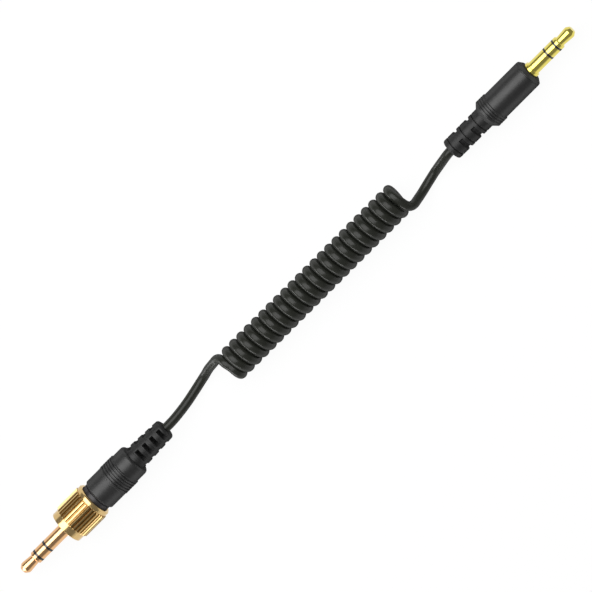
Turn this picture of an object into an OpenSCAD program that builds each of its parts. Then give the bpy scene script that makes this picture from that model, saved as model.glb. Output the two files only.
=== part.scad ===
// Curly stereo cord: a locking 3.5 mm plug with a knurled coupling nut, a right-handed coil,
// and a plain moulded 3.5 mm plug. The cord lies along X on the surface z = 0, with the locking
// plug's tip towards -X and the plain plug's tip towards +X. Each plug is drawn upright in its
// own frame, where z runs back from the tip along the axis, and is then laid down.

/* [Plug contacts] */
// Outer diameter of the contact shaft
shaft_d = 3.5; // [3:0.1:4.2]
// Diameter of the tip's flat nose
nose_d = 1.9; // [1.4:0.1:2.4]
// Widest diameter of the tip
tip_d = 3.15; // [2.9:0.05:3.3]
// Diameter of the groove behind the tip
tip_neck_d = 2.65; // [2.3:0.05:2.8]
// Length from the nose to the tip contact's rear face
tip_len = 5.35; // [5:0.05:6]
// Diameter of the rod behind the tip
core_rod_d = 1.0; // [0.8:0.05:1.2]
// Wall of each insulating or contact tube round the rod
tube_wall = 0.25; // [0.2:0.01:0.26]
// Radial play between nested contact tubes
tube_gap = 0.04; // [0.02:0.01:0.05]
// Distance that each inner tube stands out behind the one round it
tube_step = 1.1; // [0.9:0.1:1.4]

/* [Locking plug] */
// Width of each insulating ring
lock_ins_w = 0.65; // [0.4:0.05:0.9]
// Width of the ring contact
lock_ring_w = 2.65; // [2:0.05:3.2]
// Length of the shaft in front of the nut
lock_shaft_len = 15.5; // [14.5:0.1:17]
// Length of the jack's thread that the nut takes
thread_len = 4.0; // [3:0.1:4.5]
// Diameter of the housing
lock_body_d = 9.0; // [8.7:0.1:10]
// Length of the housing
lock_body_len = 13.3; // [12.5:0.1:16]
// Diameter over the fine rings
lock_ring_band_d = 9.25; // [9.1:0.05:10.2]
// Diameter of the housing behind the fine rings
lock_rear_d = 8.75; // [8.5:0.05:8.9]
// Share of the housing's diameter that is hollow
lock_bore_share = 0.72; // [0.71:0.005:0.73]
// Distance from the housing's front to the fine rings
lock_band_off = 5.35; // [5:0.05:6]
// Number of fine grooves
lock_groove_count = 5; // [3:1:6]
// Distance between fine grooves
lock_groove_pitch = 0.76; // [0.6:0.02:0.9]
// Width of a fine groove
lock_groove_w = 0.3; // [0.2:0.02:0.34]
// Depth of a fine groove
lock_groove_depth = 0.22; // [0.1:0.02:0.3]

/* [Coupling nut] */
// Diameter over the knurl
nut_d = 10.25; // [10:0.05:11]
// Length of the nut
nut_len = 10.7; // [10:0.1:12]
// Diameter of the plain band at the nut's mouth
nut_band_d = 9.3; // [9:0.05:9.6]
// Length of the plain band
nut_band_len = 2.1; // [1.5:0.1:3]
// Number of knurl teeth
knurl_teeth = 32; // [24:1:40]
// Depth of the knurl
knurl_depth = 0.4; // [0.2:0.05:0.45]
// Length of the smooth ring behind the knurl
nut_rear_len = 1.25; // [1:0.05:1.6]
// Diameter of the nut's rear face
nut_rear_d = 9.0; // [8.9:0.05:9.4]
// Diameter of the nut's threaded hole, at the crests
nut_bore_d = 5.5; // [5.4:0.05:5.7]
// Diameter of the countersink at the nut's mouth
nut_mouth_d = 6.3; // [6:0.05:6.8]
// Distance that the nut slides back
nut_float = 1.2; // [0.6:0.1:1.25]

/* [Nut's seat] */
// Diameter of the black neck behind the nut
neck_d = 8.05; // [7.8:0.05:8.2]
// Length of neck in view
neck_show = 1.3; // [1.3:0.05:1.6]
// Length of neck inside the nut
neck_cover = 0.6; // [0.4:0.05:0.8]
// Radial running play between the nut and the neck or bush
run_gap = 0.1; // [0.05:0.01:0.1]
// Thickness of the snap ring
snap_t = 0.5; // [0.4:0.05:0.6]
// Radial width of the snap ring
snap_w = 0.85; // [0.7:0.05:0.95]
// Play of the snap ring on each side
snap_play = 0.05; // [0.03:0.01:0.08]
// Opening of the snap ring, in degrees
snap_open = 60; // [30:5:90]

/* [Locking plug's boot] */
// Length of the boot outside the housing
lock_boot_len = 11.0; // [10.8:0.1:13]
// Diameter of the boot at the housing
lock_boot_d = 6.6; // [6.2:0.1:7]
// Diameter of the boot at its end
lock_boot_end_d = 5.6; // [5.2:0.1:6]
// Number of slots on each side
boot_slots = 4; // [2:1:4]
// Distance from one slot to the next on the same side
boot_slot_pitch = 2.48; // [2.2:0.02:2.5]
// Length of a slot along the boot
boot_slot_len = 1.0; // [0.6:0.05:1.1]
// Width of a slot across the boot
boot_slot_w = 3.0; // [2:0.1:3.2]
// Turn of the locking plug's boot about its axis, in degrees
lock_boot_roll = 8; // [-30:1:30]

/* [Plain plug] */
// Width of each insulating ring on the plain plug
plug_ins_w = 0.55; // [0.4:0.05:0.9]
// Width of the ring contact on the plain plug
plug_ring_w = 2.4; // [2:0.05:3]
// Length of the shaft in front of its flange
plug_shaft_len = 14.0; // [13:0.1:15]
// Diameter of the flange at the shaft's foot
flange_d = 4.3; // [3.9:0.1:5]
// Length of flange in view
flange_len = 1.0; // [0.6:0.1:1.5]
// Diameter of the barrel
barrel_d = 7.85; // [7.4:0.05:8.1]
// Length of the barrel, chamfer and ribs included
barrel_len = 15.3; // [15:0.1:18]
// Diameter over the ribs
rib_d = 8.3; // [8.2:0.05:9]
// Number of ribs
rib_count = 4; // [2:1:5]
// Distance from rib to rib
rib_pitch = 0.7; // [0.6:0.02:0.8]
// Length of the taper behind the ribs
plug_taper_len = 1.15; // [1:0.05:1.6]
// Share of the barrel's diameter that is hollow
plug_bore_share = 0.72; // [0.715:0.005:0.74]

/* [Plain plug's boot] */
// Length of the plain plug's boot
plug_boot_len = 11.9; // [11.6:0.1:13]
// Diameter of the plain plug's boot
plug_boot_d = 5.85; // [5.5:0.05:6.2]
// Distance between the boot's rings
plug_boot_pitch = 4.25; // [3.6:0.05:4.3]
// Distance from the boot's end to its first ring
plug_first_ring = 1.5; // [1.3:0.05:2]
// Width of the boot's rings
plug_ring_groove_w = 0.3; // [0.2:0.05:0.4]
// Depth of the boot's rings
plug_ring_groove_depth = 0.25; // [0.15:0.05:0.35]
// Rounding of the boot's end
plug_end_round = 0.6; // [0.3:0.05:0.8]
// Distance from a ring to the middle of the pockets in front of it
pocket_off = 2.6; // [2.3:0.05:2.8]
// Depth of the boot's side pockets
pocket_depth = 0.43; // [0.2:0.01:0.6]
// Length of a side pocket along the boot
pocket_len = 1.2; // [0.8:0.05:1.4]
// Width of the webs between the side pockets
pocket_web_w = 2.6; // [1.6:0.1:2.8]
// Turn of the plain plug's boot about its axis, in degrees
plug_boot_roll = 30; // [-45:1:45]

/* [Cord] */
// Diameter of the cord
cord_d = 2.2; // [1.8:0.05:2.2]
// Radius of the coil, to the middle of the cord
coil_r = 3.3; // [3:0.05:3.6]
// Advance of the coil in one turn
coil_pitch = 2.65; // [2.65:0.05:3.2]
// Turns in the coil
coil_turns = 23.5; // [15.5:1:30.5]

/* [Hidden] */
$fn = 64;

eps = 0.01;                 // reach of a cut past the face that it opens
table_gap = 0.15;           // height of the coil's form above the surface
fit_gap = 0.05;             // radial play of fixed inner pieces
wire_r = 0.3;               // radius of an insulated conductor
wire_in = 0.7;              // distance of a conductor from the axis where it enters the jacket
jacket_bore_r = cord_d / 2 + fit_gap;

// Radii of the nested contacts, from the rod outwards
shaft_r = shaft_d / 2;
rod_r = core_rod_d / 2;
ins1_r = rod_r + tube_gap;
ring_tube_r = ins1_r + tube_wall + tube_gap;
ins2_r = ring_tube_r + tube_wall + tube_gap;
sleeve_bore_r = ins2_r + tube_wall + tube_gap;

// Places along the locking plug, back from its tip
lock_ring_z = tip_len + lock_ins_w;
lock_sleeve_z = lock_ring_z + lock_ring_w + lock_ins_w;
bush_z = lock_shaft_len + thread_len;
nut_rear_z = lock_shaft_len + nut_len;
neck_z = nut_rear_z - neck_cover;
lock_body_z = nut_rear_z + neck_show;
lock_boot_z = lock_body_z + lock_body_len;
lock_end_z = lock_boot_z + lock_boot_len;
lock_bore_r = lock_bore_share * lock_body_d / 2;
neck_spigot_len = 1.7;
shank_end_z = lock_body_z + neck_spigot_len + 0.4;
lock_flange_len = 0.6;
lock_rear_wall = 1.4;

// The nut's seat: the snap ring sits in the nut's groove and slides in the bush's wide groove
bush_r = nut_bore_d / 2 - run_gap;
snap_r = nut_bore_d / 2 + snap_w / 2 - 0.025;
snap_bore_r = snap_r - snap_w;
bush_groove_r = snap_bore_r - fit_gap;
snap_z = bush_z + 2;
bush_groove_len = snap_t + nut_float + 2 * snap_play;
shank_r = 0.74 * lock_bore_r;
sleeve_step = 0.2;                              // shoulder of the sleeve contact at the bush's front
counterbore_len = neck_cover + nut_float + 0.2;

// Places along the plain plug, back from its tip
plug_ring_z = tip_len + plug_ins_w;
plug_sleeve_z = plug_ring_z + plug_ring_w + plug_ins_w;
plug_body_z = plug_shaft_len + flange_len;
rib_z = plug_body_z + barrel_len - rib_count * rib_pitch;
plug_taper_z = plug_body_z + barrel_len;
plug_boot_z = plug_taper_z + plug_taper_len;
plug_end_z = plug_boot_z + plug_boot_len;
plug_bore_r = plug_bore_share * barrel_d / 2;
plug_front_wall = 1.5;
plug_flange_len = 0.7;
plug_flange_r = 0.78 * plug_bore_r;
plug_rear_wall = 2.1;

// Length of the solder room behind the tubes, and the crimp and boot root behind it
solder_len = 2.2;
crimp_len = 1.0;
root_len = 0.9;

// Where everything lies on the surface: the plugs' outer sides are level about Y = 0
lead_lock_span = 22.25;     // from the locking plug's boot to the coil's first turn
lead_plug_span = 17.4;      // from the coil's last turn to the plain plug's boot
coil_len = coil_turns * coil_pitch;
total_len = lock_end_z + lead_lock_span + coil_len + lead_plug_span + plug_end_z;
lock_tip_x = -total_len / 2;
plug_tip_x = total_len / 2;
lock_y = 0.2;
plug_y = -(lock_y + nut_d / 2) + rib_d / 2;
coil_y = -0.35;
lock_h = nut_d / 2;
plug_h = rib_d / 2;
coil_h = coil_r + cord_d / 2 + table_gap;
coil_x = lock_tip_x + lock_end_z + lead_lock_span;

// ---------------------------------------------------------------- frames and small helpers

// Lays a plug down with its tip towards -X
module lock_frame() {
    translate([lock_tip_x, lock_y, lock_h]) rotate([0, 90, 0]) children();
}

// Lays a plug down with its tip towards +X
module plug_frame() {
    translate([plug_tip_x, plug_y, plug_h]) rotate([0, -90, 0]) children();
}

// A tube from z0 to z1
module tube(r_in, r_out, z0, z1) {
    rotate_extrude() translate([r_in, z0]) square([r_out - r_in, z1 - z0]);
}

// Unit vector along v
function unit(v) = v / norm(v);

// Direction of a chain of points at point i
function heading(p, i) =
    i == 0 ? unit(p[1] - p[0]) :
    i == len(p) - 1 ? unit(p[i] - p[i - 1]) :
    unit(unit(p[i + 1] - p[i]) + unit(p[i] - p[i - 1]));

// Ring of corners round point i, square to the chain; up[i] turns the ring
function ring_at(p, up, i, r, sides) =
    let (t = heading(p, i), n = unit(up[i] - (up[i] * t) * t), b = cross(t, n))
    [for (k = [0 : sides - 1]) let (a = 360 * k / sides) p[i] + r * (cos(a) * n + sin(a) * b)];

// One closed tube along the points, with triangles all over
module swept_tube(p, up, r, sides) {
    n = len(p);
    points = concat([for (i = [0 : n - 1]) each ring_at(p, up, i, r, sides)], [p[0], p[n - 1]]);
    walls = [for (i = [0 : n - 2], k = [0 : sides - 1])
        let (a = i * sides + k, b = i * sides + (k + 1) % sides)
        each [[a, a + sides, b], [b, a + sides, b + sides]]];
    first = [for (k = [0 : sides - 1]) [n * sides, k, (k + 1) % sides]];
    last = [for (k = [0 : sides - 1])
        [n * sides + 1, (n - 1) * sides + (k + 1) % sides, (n - 1) * sides + k]];
    polyhedron(points = points, faces = concat(walls, first, last));
}

// A conductor along a chain of points
module wire(points, r) {
    swept_tube(points, [for (q = points) [0, 1, 0]], r, 8);
}

// ---------------------------------------------------------------- contacts, alike in both plugs

// The turned tip, its core rod and a solder cup in the rod's end
module tip_contact(rod_end) {
    cup_r = 0.6 * rod_r;
    rotate_extrude() polygon([
        [0, 0], [nose_d / 2, 0], [tip_d / 2 - 0.05, 0.9], [tip_d / 2, 1.15], [tip_d / 2, 1.5],
        [tip_neck_d / 2, tip_len - 1.35], [tip_neck_d / 2, tip_len - 1.0],
        [shaft_r - 0.2, tip_len - 0.95], [shaft_r, tip_len - 0.75], [shaft_r, tip_len],
        [rod_r, tip_len], [rod_r, rod_end], [cup_r, rod_end], [cup_r, rod_end - 0.8], [0, rod_end - 0.8]
    ]);
}

// A ring that shows between two contacts, and the tube that runs back from it
module stepped_ring(bore_r, z0, width, tube_end) {
    rotate_extrude() polygon([
        [bore_r, z0], [shaft_r, z0], [shaft_r, z0 + width],
        [bore_r + tube_wall, z0 + width], [bore_r + tube_wall, tube_end], [bore_r, tube_end]
    ]);
}

// The ring contact, whose tube ends in a half-round solder tongue
module ring_contact(z0, width, tube_end) {
    difference() {
        stepped_ring(ring_tube_r, z0, width, tube_end);
        translate([-shaft_d, -shaft_d, tube_end - 0.7]) cube([shaft_d, 2 * shaft_d, 0.7 + eps]);
    }
}

// The conductors: one on the rod, one on the ring's tongue and one on the sleeve's flange
module conductors(flange_face, ring_end, rod_end, jacket_face) {
    wire([[0, 0, rod_end], [0, 0, jacket_face]], wire_r);
    ring_off = ring_tube_r + tube_wall + wire_r + 0.02;
    wire([[ring_off, 0, ring_end - 1.0], [ring_off, 0, ring_end + 0.3],
          [wire_in, 0, jacket_face - 1.2], [wire_in, 0, jacket_face]], wire_r);
    sleeve_off = ins2_r + tube_wall + wire_r + 0.05;
    wire([[-sleeve_off, 0, flange_face], [-sleeve_off, 0, ring_end + 0.5],
          [-wire_in, 0, jacket_face - 1.2], [-wire_in, 0, jacket_face]], wire_r);
}

// A split ferrule closed on the jacket
module cord_crimp(z0) {
    difference() {
        tube(jacket_bore_r, jacket_bore_r + 0.35, z0, z0 + crimp_len);
        translate([-0.3, 0, z0 - eps]) cube([0.6, cord_d, crimp_len + 2 * eps]);
    }
}

// Ends of the nested tubes behind a sleeve flange at z
function ins2_end(z) = z + tube_step;
function ring_end(z) = z + 2.2 * tube_step;
function ins1_end(z) = z + 3 * tube_step;
function rod_end(z) = z + 4 * tube_step;
function jacket_face(z) = rod_end(z) + solder_len;
lock_flange_z = shank_end_z + lock_flange_len;
plug_flange_z = plug_body_z + plug_front_wall + plug_flange_len;

// ---------------------------------------------------------------- locking plug

module lock_tip_contact() {
    color([0.78, 0.58, 0.42]) lock_frame() tip_contact(rod_end(lock_flange_z));
}

module lock_tip_insulator() {
    color([0.05, 0.05, 0.05]) lock_frame()
        stepped_ring(ins1_r, tip_len, lock_ins_w, ins1_end(lock_flange_z));
}

module lock_ring_contact() {
    color([0.78, 0.58, 0.42]) lock_frame()
        ring_contact(lock_ring_z, lock_ring_w, ring_end(lock_flange_z));
}

module lock_ring_insulator() {
    color([0.05, 0.05, 0.05]) lock_frame()
        stepped_ring(ins2_r, lock_ring_z + lock_ring_w, lock_ins_w, ins2_end(lock_flange_z));
}

// The sleeve steps up inside the bush, and its flange holds the bush from behind
module lock_sleeve_contact() {
    color([0.78, 0.58, 0.42]) lock_frame() rotate_extrude() polygon([
        [sleeve_bore_r, lock_sleeve_z], [shaft_r, lock_sleeve_z], [shaft_r, bush_z],
        [shaft_r + sleeve_step, bush_z], [shaft_r + sleeve_step, shank_end_z],
        [shank_r, shank_end_z], [shank_r, lock_flange_z], [sleeve_bore_r, lock_flange_z]
    ]);
}

// Turned bush: bearing for the nut, wide groove for the snap ring, and a shank through the neck
module lock_bush() {
    bore_r = shaft_r + sleeve_step + tube_gap;
    groove_z = snap_z - snap_play;
    color([0.72, 0.70, 0.64]) lock_frame() rotate_extrude() polygon([
        [bore_r, bush_z], [bush_r - 0.2, bush_z], [bush_r, bush_z + 0.2],
        [bush_r, groove_z], [bush_groove_r, groove_z],
        [bush_groove_r, groove_z + bush_groove_len], [bush_r, groove_z + bush_groove_len],
        [bush_r, neck_z], [shank_r, neck_z], [shank_r, shank_end_z], [bore_r, shank_end_z]
    ]);
}

// Black neck that shows behind the nut, with a spigot in the housing
module lock_neck() {
    bore_r = shank_r + fit_gap;
    spigot_r = lock_bore_r - fit_gap;
    spigot_z = lock_body_z + neck_spigot_len;
    color([0.20, 0.18, 0.19]) lock_frame() rotate_extrude() polygon([
        [bore_r, neck_z], [neck_d / 2 - 0.15, neck_z], [neck_d / 2, neck_z + 0.15],
        [neck_d / 2, lock_body_z], [spigot_r, lock_body_z], [spigot_r, spigot_z], [bore_r, spigot_z]
    ]);
}

// Moulded housing: front edge, fine rings, rounded shoulder, and a rear wall that holds the boot
module lock_body() {
    r = lock_body_d / 2;
    band_r = lock_ring_band_d / 2;
    rear_r = lock_rear_d / 2;
    lip = 0.35;                                     // chamfer of the front edge
    band_z = lock_body_z + lock_band_off;
    band_len = lock_groove_count * lock_groove_pitch + lock_groove_w;
    shoulder_r = 1.15;                              // rounding where the housing meets the boot
    shoulder_z = lock_boot_z - shoulder_r;
    wall_z = lock_boot_z - lock_rear_wall;
    color([0.24, 0.24, 0.24]) lock_frame() difference() {
        rotate_extrude() difference() {
            union() {
                polygon([
                    [0, lock_body_z], [r - lip, lock_body_z], [r, lock_body_z + lip], [r, band_z],
                    [band_r, band_z + 0.1], [band_r, band_z + band_len], [rear_r, band_z + band_len + 0.2],
                    [rear_r, shoulder_z], [0, shoulder_z]
                ]);
                translate([0, shoulder_z]) square([rear_r - shoulder_r, shoulder_r]);
                intersection() {
                    translate([rear_r - shoulder_r, shoulder_z]) circle(r = shoulder_r);
                    translate([0, shoulder_z]) square([rear_r, shoulder_r]);
                }
            }
            for (i = [1 : lock_groove_count])
                translate([band_r - lock_groove_depth, band_z + i * lock_groove_pitch - lock_groove_w / 2])
                    square([1, lock_groove_w]);
        }
        translate([0, 0, lock_body_z - eps]) cylinder(r = lock_bore_r, h = wall_z - lock_body_z + eps);
        cylinder(r = boot_neck_r(lock_boot_d) + fit_gap, h = lock_boot_z + eps);
    }
}

// Shroud round the soldered terminals, wide over the tubes and narrow over the conductors
module inner_mould(r, flange_r, z0, rod_face, z1) {
    room_r = flange_r + 0.08;
    throat_r = wire_in + wire_r + 0.5;
    rotate_extrude() polygon([
        [room_r, z0], [r, z0], [r, z1], [throat_r, z1], [throat_r, rod_face + 0.6], [room_r, rod_face + 0.2]
    ]);
}

module lock_inner_mould() {
    z = lock_flange_z;
    color([0.82, 0.82, 0.78]) lock_frame()
        inner_mould(lock_bore_r - fit_gap, shank_r, lock_body_z + neck_spigot_len, rod_end(z), jacket_face(z) - 0.6);
}

module lock_wires() {
    z = lock_flange_z;
    color([0.75, 0.15, 0.12]) lock_frame() conductors(z, ring_end(z), rod_end(z), jacket_face(z));
}

module lock_cord_crimp() {
    color([0.72, 0.70, 0.64]) lock_frame() cord_crimp(jacket_face(lock_flange_z) + 0.1);
}

// Radius of a boot's neck, where it passes the rear wall of its housing
function boot_neck_r(boot_d) = boot_d / 2 - 0.8;

// Half section of the root and neck that hold a boot inside its housing, without the cord's hole
module boot_root(bore_r, boot_d, boot_z, rear_wall) {
    wall_z = boot_z - rear_wall;
    neck_r = boot_neck_r(boot_d);
    polygon([
        [0, wall_z - root_len], [bore_r - fit_gap, wall_z - root_len], [bore_r - fit_gap, wall_z],
        [neck_r, wall_z], [neck_r, boot_z + eps], [0, boot_z + eps]
    ]);
}

// Half section of the cord's hole through a boot
module cord_hole(z1) {
    translate([-1, -1]) square([jacket_bore_r + 1, z1 + 2]);
}

// Outline of the locking plug's boot: a taper with a shallow waist at each pair of side slots
function boot_r_at(z) = (lock_boot_d + (lock_boot_end_d - lock_boot_d) * z / lock_boot_len) / 2;
function boot_waist_z(i) = 0.75 + i * boot_slot_pitch;
waist_depth = 0.12;
boot_round = 1.1;

// Slots alternate: a pair on the sides at each waist, and a pair above and below between waists
module lock_strain_relief() {
    end_z = lock_boot_len;
    slot_floor = cord_d / 2 + 0.35;
    color([0.26, 0.26, 0.26]) lock_frame() {
        difference() {
            rotate_extrude() difference() {
                union() {
                    boot_root(lock_bore_r, lock_boot_d, lock_boot_z, lock_rear_wall);
                    translate([0, lock_boot_z]) {
                        polygon(concat(
                            [[0, 0], [boot_r_at(0), 0]],
                            [for (i = [0 : boot_slots - 1], k = [-1 : 1])
                                let (z = boot_waist_z(i) + 0.4 * k)
                                [boot_r_at(z) - (k == 0 ? waist_depth : 0), z]],
                            [[boot_r_at(end_z - boot_round), end_z - boot_round],
                             [0, end_z - boot_round]]));
                        translate([0, end_z - boot_round])
                            square([boot_r_at(end_z - boot_round) - boot_round, boot_round]);
                        intersection() {
                            translate([boot_r_at(end_z - boot_round) - boot_round, end_z - boot_round])
                                circle(r = boot_round);
                            translate([0, end_z - boot_round]) square([lock_boot_d, boot_round]);
                        }
                    }
                }
                cord_hole(lock_end_z);
            }
            rotate([0, 0, lock_boot_roll]) translate([0, 0, lock_boot_z])
                for (i = [0 : boot_slots - 1], side = [0, 180]) {
                    rotate([0, 0, 90 + side]) boot_slot(boot_waist_z(i), slot_floor);
                    rotate([0, 0, side]) boot_slot(boot_waist_z(i) + boot_slot_pitch / 2, slot_floor);
                }
        }
    }
}

module boot_slot(z, slot_floor) {
    translate([slot_floor, -boot_slot_w / 2, z - boot_slot_len / 2])
        cube([lock_boot_d, boot_slot_w, boot_slot_len]);
}

// The cord's jacket where it runs inside the boot
module jacket_end(z0, z1) {
    translate([0, 0, z0]) cylinder(r = cord_d / 2, h = z1 - z0);
}

module lock_cord_end() {
    color([0.15, 0.15, 0.14]) lock_frame() jacket_end(jacket_face(lock_flange_z), lock_end_z);
}

// Split ring in the nut's groove, free to slide in the bush's wide groove
module lock_snap_ring() {
    color([0.60, 0.60, 0.62]) lock_frame()
        translate([0, 0, snap_z]) rotate([0, 0, snap_open / 2])
            rotate_extrude(angle = 360 - snap_open)
                translate([snap_bore_r, 0]) square([snap_w, snap_t]);
}

// Straight knurl outline: crest and valley corners of each tooth
function knurl_points(r, depth, teeth) = [
    for (i = [0 : teeth - 1], k = [[0.02, -depth], [0.24, 0], [0.76, 0], [0.98, -depth]])
        let (a = 360 * (i - 0.5 + k[0]) / teeth)
        [(r + k[1]) * cos(a), (r + k[1]) * sin(a)]
];

// Coupling nut: plain band, straight knurl, smooth rear ring, countersunk threaded mouth,
// groove for the snap ring and a counterbore that slides over the neck
module lock_nut() {
    z0 = lock_shaft_len;
    knurl_z = z0 + nut_band_len;
    ring_z = nut_rear_z - nut_rear_len;
    groove_w = 0.2;
    crest_r = nut_d / 2;
    band_r = nut_band_d / 2;
    bore_r = nut_bore_d / 2;
    snap_groove_r = snap_r + fit_gap;
    color([0.80, 0.64, 0.30]) lock_frame() difference() {
        union() {
            rotate_extrude() polygon([
                [0, z0], [band_r - 0.12, z0], [band_r, z0 + 0.12], [band_r, knurl_z + eps],
                [0, knurl_z + eps]
            ]);
            intersection() {
                rotate_extrude() polygon([
                    [0, knurl_z], [crest_r - 0.15, knurl_z], [crest_r, knurl_z + 0.15],
                    [crest_r, ring_z - groove_w - 0.15], [crest_r - 0.15, ring_z - groove_w],
                    [0, ring_z - groove_w]
                ]);
                translate([0, 0, knurl_z]) linear_extrude(height = ring_z - groove_w - knurl_z)
                    polygon(knurl_points(crest_r, knurl_depth, knurl_teeth));
            }
            rotate_extrude() polygon([
                [0, ring_z - groove_w - eps], [crest_r - knurl_depth - 0.1, ring_z - groove_w - eps],
                [crest_r - knurl_depth - 0.1, ring_z], [crest_r - 0.2, ring_z],
                [crest_r - 0.2, ring_z + 0.25], [nut_rear_d / 2, nut_rear_z], [0, nut_rear_z]
            ]);
        }
        rotate_extrude() polygon([
            [0, z0 - eps], [nut_mouth_d / 2, z0 - eps], [nut_mouth_d / 2, z0],
            [bore_r, z0 + nut_mouth_d / 2 - bore_r], [bore_r, snap_z - snap_play],
            [snap_groove_r, snap_z - snap_play], [snap_groove_r, snap_z + snap_t + snap_play],
            [bore_r, snap_z + snap_t + snap_play], [bore_r, nut_rear_z - counterbore_len],
            [neck_d / 2 + run_gap, nut_rear_z - counterbore_len],
            [neck_d / 2 + run_gap, nut_rear_z + eps], [0, nut_rear_z + eps]
        ]);
    }
}

// ---------------------------------------------------------------- plain plug

module plug_tip_contact() {
    color([0.82, 0.76, 0.36]) plug_frame() tip_contact(rod_end(plug_flange_z));
}

module plug_tip_insulator() {
    color([0.05, 0.05, 0.05]) plug_frame()
        stepped_ring(ins1_r, tip_len, plug_ins_w, ins1_end(plug_flange_z));
}

module plug_ring_contact() {
    color([0.82, 0.76, 0.36]) plug_frame()
        ring_contact(plug_ring_z, plug_ring_w, ring_end(plug_flange_z));
}

module plug_ring_insulator() {
    color([0.05, 0.05, 0.05]) plug_frame()
        stepped_ring(ins2_r, plug_ring_z + plug_ring_w, plug_ins_w, ins2_end(plug_flange_z));
}

// Sleeve with its flange in view, a neck through the barrel's front wall and a rear flange
module plug_sleeve_contact() {
    neck_r = flange_d / 2 - 0.15;
    wall_z = plug_body_z + plug_front_wall;
    color([0.82, 0.76, 0.36]) plug_frame() rotate_extrude() polygon([
        [sleeve_bore_r, plug_sleeve_z], [shaft_r, plug_sleeve_z], [shaft_r, plug_shaft_len],
        [flange_d / 2 - 0.1, plug_shaft_len], [flange_d / 2, plug_shaft_len + 0.1],
        [flange_d / 2, plug_body_z], [neck_r, plug_body_z], [neck_r, wall_z],
        [plug_flange_r, wall_z], [plug_flange_r, plug_flange_z], [sleeve_bore_r, plug_flange_z]
    ]);
}

// Moulded barrel: chamfered front, long cylinder, ribs and a taper down to the boot
module plug_body() {
    r = barrel_d / 2;
    rib_r = rib_d / 2;
    chamfer_r = 0.95;
    chamfer_z = 0.75;
    groove_w = 0.25;
    groove_depth = 0.2;
    wall_z = plug_boot_z - plug_rear_wall;
    color([0.20, 0.20, 0.20]) plug_frame() difference() {
        rotate_extrude() difference() {
            polygon([
                [0, plug_body_z], [r - chamfer_r, plug_body_z], [r, plug_body_z + chamfer_z],
                [r, rib_z], [rib_r, rib_z + 0.1], [rib_r, plug_taper_z],
                [plug_boot_d / 2 + 0.1, plug_boot_z], [0, plug_boot_z]
            ]);
            for (i = [1 : rib_count - 1])
                translate([rib_r - groove_depth, rib_z + i * rib_pitch - groove_w / 2]) square([1, groove_w]);
        }
        translate([0, 0, plug_body_z + plug_front_wall])
            cylinder(r = plug_bore_r, h = wall_z - plug_body_z - plug_front_wall);
        cylinder(r = flange_d / 2 - 0.15 + fit_gap, h = plug_body_z + plug_front_wall + eps);
        translate([0, 0, wall_z - eps])
            cylinder(r = boot_neck_r(plug_boot_d) + fit_gap, h = plug_rear_wall + 2 * eps);
    }
}

module plug_inner_mould() {
    z = plug_flange_z;
    color([0.82, 0.82, 0.78]) plug_frame()
        inner_mould(plug_bore_r - fit_gap, plug_flange_r, plug_body_z + plug_front_wall, rod_end(z),
                    jacket_face(z) - 0.6);
}

module plug_wires() {
    z = plug_flange_z;
    color([0.75, 0.15, 0.12]) plug_frame() conductors(z, ring_end(z), rod_end(z), jacket_face(z));
}

module plug_cord_crimp() {
    color([0.72, 0.70, 0.64]) plug_frame() cord_crimp(jacket_face(plug_flange_z) + 0.1);
}

// Boot with full rings, and a pair of shallow side pockets between each two rings
module plug_strain_relief() {
    r = plug_boot_d / 2;
    end_round = plug_end_round;
    color([0.21, 0.21, 0.21]) plug_frame() difference() {
        rotate_extrude() difference() {
            union() {
                boot_root(plug_bore_r, plug_boot_d, plug_boot_z, plug_rear_wall);
                polygon([
                    [0, plug_boot_z], [r, plug_boot_z], [r, plug_end_z - end_round],
                    [r - 0.3 * end_round, plug_end_z - 0.3 * end_round], [r - end_round, plug_end_z],
                    [0, plug_end_z]
                ]);
            }
            for (i = [0 : 2])
                translate([r - plug_ring_groove_depth,
                           plug_end_z - plug_first_ring - i * plug_boot_pitch - plug_ring_groove_w / 2])
                    square([1, plug_ring_groove_w]);
            cord_hole(plug_end_z);
        }
        for (i = [0 : 1])
            translate([0, 0, plug_end_z - plug_first_ring - pocket_off - i * plug_boot_pitch])
                rotate([0, 0, plug_boot_roll]) pocket_pair(r);
    }
}

// Two pockets, one on each side of the webs that run along the boot above and below
module pocket_pair(r) {
    difference() {
        tube(r - pocket_depth, r + 1, -pocket_len / 2, pocket_len / 2);
        translate([-r - 2, -pocket_web_w / 2, -pocket_len]) cube([2 * r + 4, pocket_web_w, 2 * pocket_len]);
    }
}

module plug_cord_end() {
    color([0.15, 0.15, 0.14]) plug_frame() jacket_end(jacket_face(plug_flange_z), plug_end_z);
}

// ---------------------------------------------------------------- cord

// The coil's middle line: a hook that runs up from the surface, the turns, and a hook that runs down
// again. The first half turn is drawn in against the second, because the lead pulls it there. The
// hooks' points are set out from the first and the last turn's middle, and each hook ends in a
// straight stretch that lies on the surface along X.
curl_rings = 8;
tuck_in = 1.35;
low = cord_d / 2 - coil_h;
start_hook = [
    [-7.8, 2.5, low], [-6.6, 2.5, low], [-5.2, 2.7, low + 0.35], [-3.9, 3.05, low + 1.1],
    [-2.6, 3.5, low + 2.05], [-1.4, 3.72, low + 3], [-0.35, 3.4, low + 3.95]];
end_hook = [
    [0, -3.3, low + 4.9], [0.85, -3.7, low + 3.95], [2, -3.68, low + 2.85], [3.4, -3.35, low + 1.75],
    [5, -2.85, low + 0.8], [6.8, -2.35, low + 0.15], [8.2, -2.1, low], [9.4, -2.1, low]];

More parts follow.
